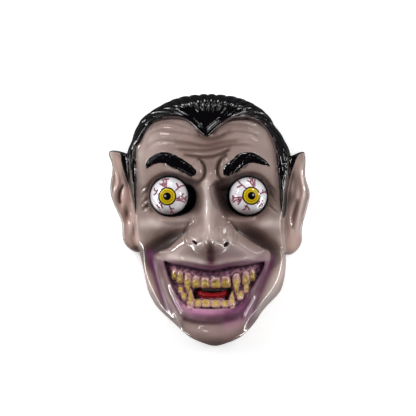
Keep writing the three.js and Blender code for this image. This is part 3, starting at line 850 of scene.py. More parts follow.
def border(mesh):
    """The two open borders of the joined sheets, each in order and starting near the same corner."""
    neighbours = {}
    for edge in mesh.edges:
        if edge.is_boundary:
            a, b = edge.verts
            neighbours.setdefault(a, []).append(b)
            neighbours.setdefault(b, []).append(a)
    loops = []
    while neighbours:
        start = min(neighbours, key=lambda v: v.co.x + v.co.y)
        loop, last = [start], None
        while True:
            here = loop[-1]
            ahead = [v for v in neighbours.pop(here) if v is not last and v in neighbours]
            if last is None:
                ahead.sort(key=lambda v: math.atan2(v.co.y, v.co.x) - math.atan2(here.co.y, here.co.x))
                ahead = ahead[-1:]
            last = here
            if not ahead:
                break
            loop.append(ahead[0])
        loops.append(loop)
    return sorted(loops, key=len)


shape = bmesh.new()
shape.from_mesh(mask.data)
coarse, fine = border(shape)
print("rim points:", len(coarse), "inside,", len(fine), "outside")
for k, point in enumerate(coarse):
    ahead = coarse[(k + 1) % len(coarse)]
    a, b, c = (fine[(2 * k + step) % len(fine)] for step in range(3))
    for corners in ((a, point, b), (b, point, ahead), (b, ahead, c)):
        shape.faces.new(corners)
shape.to_mesh(mask.data)
shape.free()
print("mask faces:", len(mask.data.polygons))

# %% [markdown]
# ## Holes
#
# The wearer breathes through the nostrils and a slit between the teeth, and looks out of a narrow slot
# beside each ball. They are punched straight through, so each is an oval cutter and one Boolean takes
# them all away.

# %% Holes
HOLES = [  # x, y, half length, half width, tilt in degrees
    (5.0, -70.6, 13.5, 1.7, 0),
    (-13.7, -22.4, 3.0, 1.5, -36),
    (17.6, -24.4, 3.0, 2.0, 46),
    (-26.8, 24.2, 1.5, 10.0, 0),
    (26.8, 24.2, 1.5, 10.0, 0),
]


def add_cutter(x, y, half_long, half_wide, tilt):
    """A tall oval peg."""
    bpy.ops.object.select_all(action="DESELECT")
    bpy.ops.mesh.primitive_cylinder_add(
        vertices=40, radius=1, depth=120 * MM, location=(x * MM, y * MM, 50 * MM),
        rotation=(0, 0, math.radians(tilt)))
    peg = bpy.context.object
    peg.scale = (half_long * MM, half_wide * MM, 1)
    bpy.ops.object.transform_apply(location=True, rotation=True, scale=True)
    return peg


pegs = [add_cutter(*hole) for hole in HOLES]
for peg in pegs:
    peg.select_set(True)
bpy.ops.object.join()
pegs = bpy.context.object
bpy.ops.object.select_all(action="DESELECT")
bpy.context.view_layer.objects.active = mask
mask.select_set(True)
punch = mask.modifiers.new("punch", "BOOLEAN")
punch.operation, punch.solver, punch.object = "DIFFERENCE", "EXACT", pegs
bpy.ops.object.modifier_apply(modifier=punch.name)
bpy.data.objects.remove(pegs)
print("mask faces after punching:", len(mask.data.polygons))

# %% [markdown]
# ## Where the paint goes
#
# The paint goes on a grey-mauve skin: pink on what stands out, with a paler skin there that is a
# painted highlight; brown, which is both paint and painted shade, lilac and purple sprayed softly into
# the folds; then black, yellow and red brushed on with crisp edges. Soft paint is kept on the mesh as
# an amount from 0 to 1, and crisp paint as the distance to its edge in millimetres, so that the
# material can draw a sharp edge between two points of the mesh. A stroke is a line, half its width and
# its strength.

# %% Soft spray
# Brown airbrush paint and painted shade: in the furrows and frown folds, above and round the eyes, beside
# and under the nose, in the ears, under the lip and under the chin.
BROWN_AND_SHADE_SPRAY = [  # line, half width, strength
    ([(-62, 32), (-58, 38.5), (-51.5, 43.5), (-43, 46), (-32, 45), (-22, 41), (-12, 37.5)], 3.4, 0.85),
    ([(10, 38), (20, 41.5), (30, 45), (40, 46.5), (50, 45), (59, 38), (64, 28)], 3.6, 0.8),
    ([(64, 30), (64, 18), (59, 8), (51, 2)], 4.0, 0.4),
    ([(-63, 27), (-63, 17), (-58, 9)], 2.4, 0.5),
    ([(-12, 85), (-3, 81.5), (4, 81), (13, 84), (21, 89)], 3.2, 0.45),
    ([(-24, 65.5), (-16, 64), (-5.5, 62.5), (5, 63.5), (14.5, 67), (20, 70)], 2.3, 0.55),
    ([(-33, 78), (-19, 76.5), (-5.5, 74.3), (3.5, 75), (13.5, 77.5), (27.5, 79)], 2.4, 0.4),
    ([(-29, 70), (-17, 69), (-4.5, 69), (7.5, 71), (21.5, 74)], 2.4, 0.35),
    ([(14, 93), (24, 95), (38, 94)], 2.6, 0.25),
    ([(-10, 61), (-5.5, 56.5), (-4, 50.5), (-5, 43.5), (-9.5, 38.5)], 1.9, 0.85),
    ([(17, 65), (11, 59), (8.8, 52), (9.5, 45), (13, 40)], 2.1, 0.85),
    ([(-9.5, 38), (-8.5, 24), (-10, 8)], 3.4, 0.3),
    ([(7.5, 36), (11.5, 27), (15, 14), (18, 4)], 4.0, 0.5),
    ([(2.0, -26), (2.3, -33), (2.6, -42)], 4.2, 0.7),
    ([(-66, 15), (-63.5, 14), (-60, 14)], 2.0, 0.5),
    ([(-24, -100.5), (-12, -103.5), (1, -104.2), (14, -103.8), (28, -100)], 2.8, 0.7),
    ([(-40, -108), (-26, -118), (-10, -125.5), (6, -128), (22, -125), (36, -115), (46, -103)], 5.6, 0.5),
    ([(-90, 66), (-87, 56.5), (-83, 46), (-79, 33.5), (-77, 20)], 2.6, 0.45),
    ([(-89, 35), (-91.5, 30), (-92.5, 24), (-92, 18)], 1.7, 0.75),
    ([(-86, -27), (-80, -30), (-73, -30)], 3.6, 0.5),
    ([(97, 66), (90, 55), (86.5, 44)], 4.2, 0.2),
    ([(88, 46), (88.5, 36), (88, 24)], 3.0, 0.2),
    ([(85, 28), (85, 22), (85.5, 16)], 1.4, 0.3),
    (RIGHT_EAR_SLOT, 1.9, 0.5),
    ([(62, 86), (67, 76), (69.5, 60), (72.5, 40), (75, 22)], 3.4, 0.5),
    ([(6, 88), (11, 94), (18, 99)], 3.0, 0.5),
    ([(-76, -6), (-80, -20), (-74, -31)], 3.2, 0.4),
]
# Soft clouds of brown paint and painted shade: the cheek hollows, the ear's hollow, beside and under the
# nose, the middle of the forehead, the temple, the jaw and under the chin.
BROWN_AND_SHADE_CLOUDS = [  # place, half sizes, tilt, strength
    ((-44.5, -21), (22, 7), 32, 0.92), ((-85.2, 7), (3.8, 8.5), 4, 0.62), ((-57, -31), (9, 8), 0, 0.5),
    ((47, -15), (23, 9), -32, 0.75), ((-13, 12), (5, 16), 0, 0.25),
    ((13, 14), (6, 18), 14, 0.4), ((2, 75), (30, 10), 0, 0.3), ((2, 55), (10, 9), 0, 0.3),
    ((2, -31), (14, 6), 0, 0.5), ((67, 22), (6, 22), 0, 0.25), ((-50, -98), (9, 18), 32, 0.3),
    ((58, -92), (9, 18), -32, 0.35), ((6, -127), (28, 9), 0, 0.4),
]
FOLD_STRENGTH = [(0, 0.3), (0.06, 0.8), (0.16, 1), (0.4, 1), (0.5, 0.9), (0.62, 0.4), (0.78, 0), (1, 0)]
FOLD_REACH = [(0, 3), (0.1, 6), (0.22, 10.5), (0.36, 12.5), (0.46, 12), (0.6, 5), (1, 4)]
PURPLE_SPRAY = [
    ([(-60, -33), (-57, -45), (-53.5, -57), (-50, -69), (-45.5, -82), (-41, -91)], 3.6, 0.95),
    ([(-58, -37), (-54, -44), (-50, -49)], 5.0, 0.4),
    ([(65, -38), (61.5, -50), (56, -64), (50.5, -77), (45.5, -90), (41, -104)], 3.4, 0.85),
    ([(-49, -42), (-46, -56.5), (-41, -72), (-33, -87), (-25, -99)], 2.2, 0.5),
    ([(58, -46), (54, -58.5), (48, -71.5), (41.5, -86), (34, -99)], 3.0, 0.6),
    ([(-8, -112), (8, -114), (22, -111)], 10.0, 0.2),
    ([(0, -100), (14, -99.5), (24, -97.5), (34, -91), (41, -82)], 3.0, 0.45),
    ([(18, -99), (26, -96.5), (34, -91), (41, -82)], 3.4, 0.7),
    ([(9, -94.5), (17, -93.5), (25, -90), (32, -84), (38, -76)], 4.0, 0.35),
    ([(19, -93), (26, -89.5), (32, -84), (38, -76)], 4.4, 0.6),
    ([(-46, -35), (-32, -33), (-18, -38)], 7.0, 0.1),
    ([(14, -36), (32, -34), (50, -36)], 8.0, 0.35),
    ([(-40, -43), (-20, -46), (-6.5, -48.5), (3.5, -49.5), (13.5, -47.5), (30, -44.5), (54, -42)],
     3.6, 0.75),
    ([(-12, -46), (3, -48.5), (18, -46)], 4.0, 0.6),
    ([(-15, -98), (0, -100), (16, -99.5), (34, -94)], 3.0, 0.3),
    ([(1, -38), (2.5, -46)], 3.0, 0.5),
    ([(-45, -42), (-41, -55), (-35, -70), (-27, -84)], 2.0, 0.8),
    ([(56.5, -43), (50, -60), (43, -72), (35, -83), (26, -89)], 2.2, 0.85),
]
LILAC_SPRAY = [
    ([(-30, -84), (-20, -91.0), (-6, -94)], 5.6, 0.7),
    ([(-14, -93.5), (4, -94.8), (16, -94.2), (30, -89)], 6.0, 0.9),
    ([(24, -93), (32, -88), (37, -82)], 3.2, 0.6),
    ([(20, -105), (33, -101), (43, -90)], 6.0, 0.4),
]
# Painted highlight: a paler skin on the raised places where the light catches them: the nose, the
# cheekbones, the ear rims, the lips and the jaw.
PALE_HIGHLIGHT_SPRAY = [  # raised places that the darker paint missed
    ([(-2.5, 38), (-2, 24), (-1.5, 8), (-1, -6)], 3.4, 0.6), ([(-8, -15), (0, -13), (8, -15)], 6.0, 0.35),
    ([(-67, -4), (-60, -4), (-53, -5)], 4.6, 0.62), ([(55, -5), (62, -4), (70, -4)], 4.6, 0.6),
    ([(-58, 84), (-56, 74), (-61, 64)], 7.0, 0.3), ([(-68, 66), (-69, 50), (-69, 40)], 4.0, 0.25),
    ([(-101, 70), (-100, 55), (-100, 40), (-100, 28), (-96, 12), (-90, -2), (-88, -18)], 2.6, 0.85),
    ([(99, 68), (99, 50), (101, 34), (99, 18), (95, 2), (93, -15)], 2.8, 0.85),
    ([(-84, -8), (-80, -20)], 4.0, 0.4), ([(90, -8), (88, -24)], 4.0, 0.4),
    ([(-40, -37), (-28, -38.5), (-18, -40), (-8, -43)], 3.6, 0.85),
    ([(12, -43), (26, -40), (44, -38)], 3.0, 0.45),
    ([(-46, -36), (-34, -33), (-22, -33)], 6.0, 0.2), ([(16, -32), (30, -31), (46, -35)], 6.0, 0.4),
    ([(-70, -20), (-70, -42), (-66, -60), (-60, -74), (-50, -90)], 4.0, 0.3),
    ([(74, -20), (75, -42), (70, -58), (62, -74), (52, -92)], 5.0, 0.65),
    ([(-47, -62), (-44, -74), (-36, -90), (-30, -100)], 2.6, 0.5),
    ([(50, -76), (44, -92), (38, -104)], 2.8, 0.5),
    ([(-40, 53), (-32, 49)], 3.2, 0.4), ([(-50, -5), (-38, -6), (-27, -7)], 3.6, 0.5),
]
# Painted shade inside the mouth: under the upper lip, in its corners and round the lower teeth.
MOUTH_SHADE_SPRAY = [  # inside the mouth
    ([(-46, -41), (-37, -44), (-22, -47.5), (-6, -51), (4, -52.5), (14, -51), (30, -47.5), (44, -44.5),
      (58, -42)], 2.4, 0.75),
    ([(-44, -42), (-41, -52), (-36, -64)], 2.6, 0.8),
    ([(57, -42), (52, -54), (44, -67)], 3.4, 0.85),
    ([(-9, -55), (4, -57), (14, -56)], 3.2, 0.6),
    ([(22.8, -57), (22.8, -70)], 1.6, 0.9), ([(33, -64), (35, -70)], 1.2, 0.6),
    ([(30, -86), (38, -77)], 1.6, 0.5),
    ([(-15, -86), (-15, -72)], 1.0, 0.5),
    ([(-22, -87), (-8, -88.3), (4, -88.8), (16, -88.4), (27, -86)], 2.0, 0.85),
]
PINK_SPRAY = [
    ([(-95, 60), (-92, 40), (-88, 20), (-85, 5), (-82, -10), (-78, -27)], 8.0, 0.85),
    ([(93, 60), (95, 40), (96, 20), (92, -5), (88, -26)], 8.0, 0.9),
    ([(-98, 66), (-96, 45), (-97, 25)], 4.0, 0.35),
    ([(-70, -40), (-66, -55), (-58, -70)], 4.0, 0.4),
    ([(76, -45), (72, -60), (64, -74)], 4.0, 0.4),
]
DUSTY_GAPS = [  # dust dulls the deep gaps between the ears and the head, and under the nose
    ([(-17, -20), (-13, -26), (-7, -31)], 3.0, 0.9), ([(22, -20), (18, -27), (12, -31)], 3.0, 0.9),
    ([(-90, 60), (-86, 48), (-81, 34), (-77, 18), (-75, 0), (-74, -34)], 3.4, 1.0),
    ([(92, 60), (86, 48), (82.5, 32), (80.5, 16), (79.5, 0), (79.5, -38)], 3.4, 1.0),
]
SPRAYS = {  # attribute on the mesh: its strokes
    "pink": PINK_SPRAY, "pale_highlight": PALE_HIGHLIGHT_SPRAY, "lilac": LILAC_SPRAY, "purple": PURPLE_SPRAY,
    "deep": MOUTH_SHADE_SPRAY, "gap": DUSTY_GAPS,
}


def sprayed(strokes, x, y):
    """Amount of soft paint from all the strokes together."""
    clear = np.ones(x.shape)
    for line, half, strength in strokes:
        clear *= 1 - strength * stroke(line, half, x, y, 0)
    return 1 - clear


def fold_shade(x, y, muzzle):
    """The dark of the cheek hollows: crisp along the muzzle, and fading up into the cheek."""
    shade = np.zeros(x.shape)
    for fold in FOLDS:
        line = curve(fold)
        close = near(line, 26, x, y)
        distance, share = to_line(line, False, x[close], y[close])
        reach = read_along(FOLD_REACH, share)
        own = read_along(FOLD_STRENGTH, share) * np.exp(-((distance / reach) ** 2))
        shade[close] = np.maximum(shade[close], own * smooth(1.0, -0.6, muzzle[close]))
    return shade


# Brown paint and painted shade together: the strokes and clouds, the painted shade of the cheek hollows, and
# painted shade round the eye sockets that stops short below the left eye.
def brown_and_shade_amount(x, y, at):
    below_left_eye = swell((-50, 2), (21, 9), 0, x, y)  # the brown stops short here
    socket = smooth(-3.5, 8, at["socket"]) * (1 - 0.92 * below_left_eye)
    folds = fold_shade(x, y, at["muzzle"])
    clear = (1 - sprayed(BROWN_AND_SHADE_SPRAY, x, y)) * (1 - 0.97 * folds) * (1 - socket)
    for place, half_sizes, tilt, strength in BROWN_AND_SHADE_CLOUDS:
        clear *= 1 - strength * swell(place, half_sizes, tilt, x, y)
    return 1 - clear


def brow_paint(x, y, at):
    """Distance into the brows, with the loose strands below them."""
    brow = at["brow"]
    for strand in BROW_TUFTS:
        line = curve(strand)
        distance, share = to_line(line, False, x, y)
        brow = np.maximum(brow, 0.55 - 0.6 * share - distance)
    return brow


print("spray strokes:", len(BROWN_AND_SHADE_SPRAY) + sum(len(strokes) for strokes in SPRAYS.values()))

# %% Paint on the mesh
HAIR_LIP = [
    curve([(5.3, 86.6), (8.4, 91.7), (13.4, 96.7), (19.5, 101.2), (25.5, 103.5), (33.6, 104.3),
           (41.6, 103.6), (47.7, 101.5), (53.7, 97.3), (57.8, 92.7), (61.8, 86.6), (65.8, 77.6), (68, 68)]),
    curve([(-46, 103.3), (-39, 103.6), (-30.9, 103.4), (-24.9, 101.8), (-19.9, 98.8), (-14.8, 93.9),
           (-10.6, 88), (-9.4, 85)]),
]


def keep_attribute(mesh, name, values):
    """Keeps a value, or a vector, for each point of a mesh."""
    kind = "FLOAT" if values.ndim == 1 else "FLOAT_VECTOR"
    layer = mesh.attributes.new(name, kind, "POINT")
    layer.data.foreach_set("value" if values.ndim == 1 else "vector", values.astype(np.float32).ravel())


def paint(mesh):
    """Keeps on the mesh where each paint goes."""
    places = np.empty(len(mesh.vertices) * 3)
    mesh.vertices.foreach_get("co", places)
    x, y, _ = places.reshape(-1, 3).T / MM
    at = survey(x, y)
    lip = np.min([to_line(line, False, x, y)[0] for line in HAIR_LIP], axis=0)
    for name in ("hair", "pocket", "mouth", "tooth", "yellow", "gum", "cavity", "tongue"):
        keep_attribute(mesh, name, at[name])
    for name, strokes in SPRAYS.items():
        keep_attribute(mesh, name, sprayed(strokes, x, y))
    keep_attribute(mesh, "hair_lip", lip)
    keep_attribute(mesh, "brow", brow_paint(x, y, at))
    keep_attribute(mesh, "nubs", nubs(x, y))
    keep_attribute(mesh, "brown_and_shade", brown_and_shade_amount(x, y, at))
    _, distance = from_fan(x, y)
    lock = lock_number(x, y, at["hair"], at["edge"])
    keep_attribute(mesh, "comb", np.stack([lock * 3, distance / 40, 0 * x], axis=-1))
    keep_attribute(mesh, "combed", smooth(10, 30, distance) * smooth(2, 6, at["hair"]))


paint(mask.data)
bpy.ops.object.shade_smooth()
print("attributes:", [layer.name for layer in mask.data.attributes if layer.domain == "POINT"])

# %% [markdown]
# ## Small node helpers
#
# A material is a chain of nodes. These helpers add a node, set its values and join its sockets, so
# that each finish below reads as a list of what is laid over what.

# %% Node helpers


def srgb(red, green, blue):
    """A colour as it is seen on screen, 0 to 255, turned into the linear light that nodes take."""
    shares = [channel / 255 for channel in (red, green, blue)]
    return tuple(s / 12.92 if s <= 0.04045 else ((s + 0.055) / 1.055) ** 2.4 for s in shares) + (1.0,)


def add_node(tree, kind, settings=None, inputs=None):
    """A node with its settings, and its inputs either set or joined to another node's output."""
    new = tree.nodes.new(kind)
    for name, value in (settings or {}).items():
        setattr(new, name, value)
    for name, value in (inputs or {}).items():
        socket = new.inputs[name]
        if isinstance(value, bpy.types.NodeSocket):
            tree.links.new(value, socket)
        else:
            socket.default_value = value
    return new


def read(tree, name):
    """A value that was kept on the mesh."""
    return add_node(tree, "ShaderNodeAttribute", {"attribute_name": name}).outputs["Fac"]


def ramp(tree, value, start, end, low=0.0, high=1.0):
    """A smooth change from low to high while the value goes from start to end."""
    new = add_node(tree, "ShaderNodeMapRange", {"interpolation_type": "SMOOTHSTEP"}, {
        "Value": value, "From Min": start, "From Max": end, "To Min": low, "To Max": high})
    return new.outputs["Result"]


def maths(tree, operation, a, b):
    return add_node(tree, "ShaderNodeMath", {"operation": operation}, {0: a, 1: b}).outputs[0]


def times(tree, a, b):
    return maths(tree, "MULTIPLY", a, b)


def most(tree, a, b):
    return maths(tree, "MAXIMUM", a, b)


def less(tree, a, b):
    return maths(tree, "SUBTRACT", a, b)


def lay(tree, under, over, amount):
    """One colour laid over another by an amount."""
    new = add_node(tree, "ShaderNodeMix", {"data_type": "RGBA"})
    for socket, value in ((new.inputs[0], amount), (new.inputs[6], under), (new.inputs[7], over)):
        if isinstance(value, bpy.types.NodeSocket):
            tree.links.new(value, socket)
        else:
            socket.default_value = value
    return new.outputs[2]


def noise(tree, vector, scale, detail=3.0, roughness=0.5):
    return add_node(tree, "ShaderNodeTexNoise", None, {
        "Vector": vector, "Scale": scale, "Detail": detail, "Roughness": roughness}).outputs["Fac"]


def new_material(name):
    """A material with only its Principled shader and output, and that shader and Object coordinates."""
    material = bpy.data.materials.new(name)
    material.use_nodes = True
    tree = material.node_tree
    shader = tree.nodes["Principled BSDF"]
    places = tree.nodes.new("ShaderNodeTexCoord").outputs["Object"]
    return material, tree, shader, places


def finish(shader, **values):
    for name, value in values.items():
        shader.inputs[name.replace("_", " ")].default_value = value


print("node helpers ready")

# %% [markdown]
# ## Moulded gloss, and the edge of a brush stroke
#
# Two effects come back in every finish. Drawn plastic and thick gloss paint aren't quite even: the
# surface has the faint dimples of an orange peel, and dust and handling make the shine vary. And a
# brushed edge wanders a little. Each is a node group, built once.

# %% Shared node groups


def new_group(name, inputs, outputs):
    group = bpy.data.node_groups.new(name, "ShaderNodeTree")
    for label, kind, value in inputs:
        socket = group.interface.new_socket(label, in_out="INPUT", socket_type=kind)
        if value is not None:
            socket.default_value = value
    for label, kind in outputs:
        group.interface.new_socket(label, in_out="OUTPUT", socket_type=kind)
    return group, group.nodes.new("NodeGroupInput").outputs, group.nodes.new("NodeGroupOutput").inputs


gloss_group, given, result = new_group(
    "moulded_gloss",
    [("Place", "NodeSocketVector", None), ("Peel", "NodeSocketFloat", 420.0),
     ("Shine low", "NodeSocketFloat", 0.1), ("Shine high", "NodeSocketFloat", 0.25)],
    [("Height", "NodeSocketFloat"), ("Roughness", "NodeSocketFloat")])
peel = add_node(gloss_group, "ShaderNodeTexNoise", None, {
    "Vector": given["Place"], "Scale": given["Peel"], "Detail": 2.0, "Roughness": 0.4}).outputs["Fac"]
handled = noise(gloss_group, given["Place"], 38.0, 4.0, 0.6)
shine = add_node(gloss_group, "ShaderNodeMapRange", None, {
    "Value": handled, "From Min": 0.35, "From Max": 0.7, "To Min": given["Shine low"],
    "To Max": given["Shine high"]}).outputs["Result"]
gloss_group.links.new(peel, result["Height"])
gloss_group.links.new(shine, result["Roughness"])

brush_group, given, result = new_group(
    "brushed_edge",
    [("Place", "NodeSocketVector", None), ("Distance", "NodeSocketFloat", 0.0),
     ("Wander", "NodeSocketFloat", 0.4), ("Softness", "NodeSocketFloat", 0.35)],
    [("Amount", "NodeSocketFloat")])
wander = less(brush_group, noise(brush_group, given["Place"], 260.0, 3.0), 0.5)
moved = times(brush_group, wander, given["Wander"])
distance = maths(brush_group, "ADD", given["Distance"], times(brush_group, moved, 2.0))
amount = add_node(brush_group, "ShaderNodeMapRange", {"interpolation_type": "SMOOTHSTEP"}, {
    "Value": distance, "From Min": times(brush_group, given["Softness"], -1.0),
    "From Max": given["Softness"]}).outputs["Result"]
brush_group.links.new(amount, result["Amount"])


def gloss(tree, places, shader, peel_scale, low, high, bump_height):
    """Sets a shader's roughness and fine bump from the moulded gloss group."""
    group = add_node(tree, "ShaderNodeGroup", {"node_tree": gloss_group}, {
        "Place": places, "Peel": peel_scale, "Shine low": low, "Shine high": high})
    tree.links.new(group.outputs["Roughness"], shader.inputs["Roughness"])
    bump_node = add_node(tree, "ShaderNodeBump", None, {
        "Height": group.outputs["Height"], "Distance": bump_height * MM, "Strength": 1.0})
    tree.links.new(bump_node.outputs["Normal"], shader.inputs["Normal"])
    return group, bump_node


def brushed(tree, places, distance, wander=0.4, softness=0.35):
    """1 where crisp paint lies, from the distance to its edge in millimetres."""
    group = add_node(tree, "ShaderNodeGroup", {"node_tree": brush_group}, {
        "Place": places, "Distance": distance, "Wander": wander, "Softness": softness})
    return group.outputs["Amount"]


print("groups:", [group.name for group in bpy.data.node_groups])

# %% [markdown]
# ## The painted sheet
#
# The paint is laid over the mottled skin, each colour over the last: pink, a pale painted highlight,
# brown that is also painted shade, thin and then thick, lilac, purple. Then come the mouth with its gums,
# which carry a painted highlight on their nubs and painted shade in their pits, under the upper lip and
# round the teeth, and the cavity, teeth and tongue, the black of the hair, the brows and the pockets,
# and last a grey-brown line along the hair's edge. The black is the smoothest, the brown and the purple
# have less coat, dust takes the coat off the gaps at the ears and under the nose, and a fine comb runs
# through the hair as bump.

# %% Painted sheet
SKIN, SKIN_WARM = srgb(174, 152, 145), srgb(166, 138, 130)
SKIN_GREY, SKIN_PALE_HIGHLIGHT = srgb(150, 135, 129), srgb(226, 208, 201)
BROWN_AND_SHADE, BROWN_AND_SHADE_THIN = srgb(52, 36, 33), srgb(120, 96, 88)
PURPLE, LILAC, PINK = srgb(96, 26, 78), srgb(208, 140, 178), srgb(248, 210, 198)
GUM, GUM_PINK_AND_HIGHLIGHT = srgb(142, 94, 120), srgb(188, 140, 150)
GUM_PAINTED_SHADE, GUM_SHADE = srgb(58, 22, 40), srgb(34, 16, 26)
TOOTH, TOOTH_STAIN, TOOTH_EDGE = srgb(206, 174, 92), srgb(128, 98, 44), srgb(206, 160, 154)
TONGUE_RED, CAVITY_DARK = srgb(164, 30, 38), srgb(24, 6, 10)
BLACK, HAIR_LIP_BROWN = srgb(9, 7, 10), srgb(98, 84, 84)

sheet, tree, shader, places = new_material("painted_sheet")
blotch = ramp(tree, noise(tree, places, 22.0, 4.0, 0.6), 0.35, 0.65)
fine = ramp(tree, noise(tree, places, 70.0, 3.0, 0.55), 0.35, 0.7)
colour = lay(tree, SKIN, SKIN_WARM, times(tree, blotch, 0.55))
colour = lay(tree, colour, SKIN_GREY, times(tree, fine, 0.5))
speckle = times(tree, less(tree, noise(tree, places, 900.0, 2.0), 0.5), 0.22)


def speckled(name, strength=1.0):
    """A soft spray with its fine droplets."""
    amount = read(tree, name)
    edge = times(tree, amount, less(tree, 1.0, amount))
    return times(tree, maths(tree, "ADD", amount, times(tree, edge, speckle)), strength)


colour = lay(tree, colour, PINK, speckled("pink", 0.8))
# painted highlight of paler skin on the raised places
colour = lay(tree, colour, SKIN_PALE_HIGHLIGHT, speckled("pale_highlight"))
# brown paint and painted shade, laid thin and then thick
brown_and_shade = speckled("brown_and_shade")
colour = lay(tree, colour, BROWN_AND_SHADE_THIN, maths(tree, "MINIMUM", times(tree, brown_and_shade, 1.6), 1.0))
colour = lay(tree, colour, BROWN_AND_SHADE, ramp(tree, brown_and_shade, 0.35, 1.05))
colour = lay(tree, colour, LILAC, speckled("lilac"))
colour = lay(tree, colour, PURPLE, speckled("purple", 0.92))
mouth = brushed(tree, places, read(tree, "mouth"))
tooth = read(tree, "tooth")
roots = most(tree, ramp(tree, read(tree, "gum"), 0.1, 0.8), ramp(tree, tooth, -0.5, -0.2))
gum = lay(tree, GUM, GUM_PINK_AND_HIGHLIGHT, roots)
# painted highlight on the tops of the gum's nubs, and painted shade in the pits between them
gum = lay(tree, gum, GUM_PINK_AND_HIGHLIGHT, ramp(tree, read(tree, "nubs"), 0.0, 0.9, 0.0, 0.45))
gum = lay(tree, gum, GUM_PAINTED_SHADE, ramp(tree, read(tree, "nubs"), -0.1, -0.9, 0.0, 0.55))
# painted shade under the upper lip, in the mouth's corners and round the lower teeth
gum = lay(tree, gum, GUM_SHADE, read(tree, "deep"))
colour = lay(tree, colour, gum, mouth)
colour = lay(tree, colour, CAVITY_DARK, brushed(tree, places, read(tree, "cavity"), 0.5, 0.6))
# painted shade in the creases round the teeth, less where the gum swells at their roots
crease_shade = times(tree, ramp(tree, tooth, -0.4, -0.04), ramp(tree, tooth, -0.02, 0.06, 1.0, 0.0))
crease_shade = times(tree, crease_shade, ramp(tree, read(tree, "gum"), 0.2, 0.8, 1.0, 0.25))
colour = lay(tree, colour, GUM_PAINTED_SHADE, times(tree, mouth, times(tree, crease_shade, 0.9)))
tooth_colour = lay(tree, TOOTH_EDGE, TOOTH, ramp(tree, maths(
    tree, "ADD", read(tree, "yellow"), times(tree, fine, 0.2)), 0.24, 0.66))
stain = noise(tree, places, 240.0, 2.0)
tooth_colour = lay(tree, tooth_colour, TOOTH_STAIN, times(
    tree, ramp(tree, stain, 0.5, 0.68, 0.0, 0.7), ramp(tree, read(tree, "yellow"), 0.1, 0.6)))
colour = lay(tree, colour, tooth_colour, times(tree, mouth, ramp(tree, tooth, -0.05, 0.04)))
colour = lay(tree, colour, TONGUE_RED, brushed(tree, places, read(tree, "tongue"), 0.2))
black = brushed(tree, places, read(tree, "hair"), 0.5, 0.4)
lip = ramp(tree, read(tree, "hair_lip"), 0.5, 1.5)
black = most(tree, black, brushed(tree, places, read(tree, "brow"), 0.7, 0.3))
black = most(tree, black, brushed(tree, places, read(tree, "pocket"), 0.3, 0.4))
colour = lay(tree, colour, BLACK, black)
colour = lay(tree, colour, HAIR_LIP_BROWN, less(tree, 1.0, lip))
tree.links.new(colour, shader.inputs["Base Color"])
purple_shade = ramp(tree, read(tree, "purple"), 0.3, 0.9, 0.0, 0.8)
shade = most(tree, ramp(tree, brown_and_shade, 0.35, 0.9), purple_shade)
dull = most(tree, times(tree, less(tree, shade, black), 0.9), read(tree, "gap"))
tree.links.new(less(tree, 1.0, dull), shader.inputs["Coat Weight"])
comb = add_node(tree, "ShaderNodeAttribute", {"attribute_name": "comb"}).outputs["Vector"]
combed = times(tree, ramp(tree, noise(tree, comb, 1.1, 1.0, 0.5), 0.3, 0.7), read(tree, "combed"))
moulded, bump_node = gloss(tree, places, shader, 330.0, 0.1, 0.22, 0.03)
fine_relief = maths(tree, "ADD", moulded.outputs["Height"], combed)
tree.links.new(fine_relief, bump_node.inputs["Height"])
rough = times(tree, moulded.outputs["Roughness"], less(tree, 1.0, times(tree, black, 0.7)))
tree.links.new(maths(tree, "ADD", rough, times(tree, dull, 0.3)), shader.inputs["Roughness"])
finish(shader, Coat_Roughness=0.04, Specular_IOR_Level=0.5)
mask.data.materials.append(sheet)
print("painted sheet:", len(tree.nodes), "nodes")

# %% Riding and replacing
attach(mask, "root")
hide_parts("mask_shell")
print("mask stands for mask_shell")

# %% [markdown]
# ## Ball eyes
#
# The eyes are glossy plastic balls with a printed iris. The same print is on both, and the right ball
# is turned a quarter round. Each starts as a sphere with its pole where it looks, so that the rings of
# the iris follow the sphere's own rings; the points of the iris are then moved out a little, so that it
# stands up as a low disc. The veins are short lines in the print, kept as a distance like the crisp
# paint.

# %% Ball eyes
IRIS_RADIUS, IRIS_RISE = 9.2, 0.08
VEINS = [  # millimetres from the middle of the iris, to the right and up, on the left ball
    [(-1.2, 9.4), (-1.5, 13), (-1.8, 17)], [(-4.2, 17.2), (-1.6, 16.9), (0.2, 17.3)],
    [(-2.8, 9.4), (-3.6, 12.5), (-4.3, 15), (-6, 16.6)], [(-3.2, 10), (-6, 11.3), (-8.2, 12.6)],
    [(-4.4, 11.2), (-5.6, 13)], [(-3.4, 12.3), (-1.3, 12.4)],
    [(7.6, 5.4), (10.6, 8.2), (9.6, 11.2), (8.8, 12.8)], [(10.6, 8), (12.8, 10), (15.2, 10.5)],
    [(9.4, -2.5), (11.5, -1.3), (13.9, 0.7), (15.5, 2.3)], [(13.7, 0.5), (15.4, -1.2)],
    [(10.6, -2.8), (14.4, -2.8), (16.8, -2.3), (17.9, -0.8)], [(16.5, -2.7), (17.7, -4.3)],
    [(9.4, -4), (11.4, -4.1), (14.4, -4.9), (16.5, -6)],
    [(2.1, -9.6), (2.9, -12.5), (3.6, -15), (2.5, -17.3)], [(3.6, -15), (4.9, -17)],
    [(3.2, -12.4), (5.7, -12.8)],
    [(-6.8, -5.8), (-8.6, -7.5), (-10.8, -10)], [(-5.8, -7.8), (-7.1, -9.5), (-9.2, -11.4)],
    [(-11.2, -9.4), (-9.6, -11.5), (-8.1, -13.6)], [(-6, -9.2), (-5.1, -11.6)],
    [(-9.4, 4.4), (-11.6, 5.2), (-13.6, 6.2), (-13.9, 7.9)], [(-10.6, 4.5), (-12.1, 2.7), (-13.8, 1.6)],
    [(-11, 4.6), (-10.1, 6.1)],
]
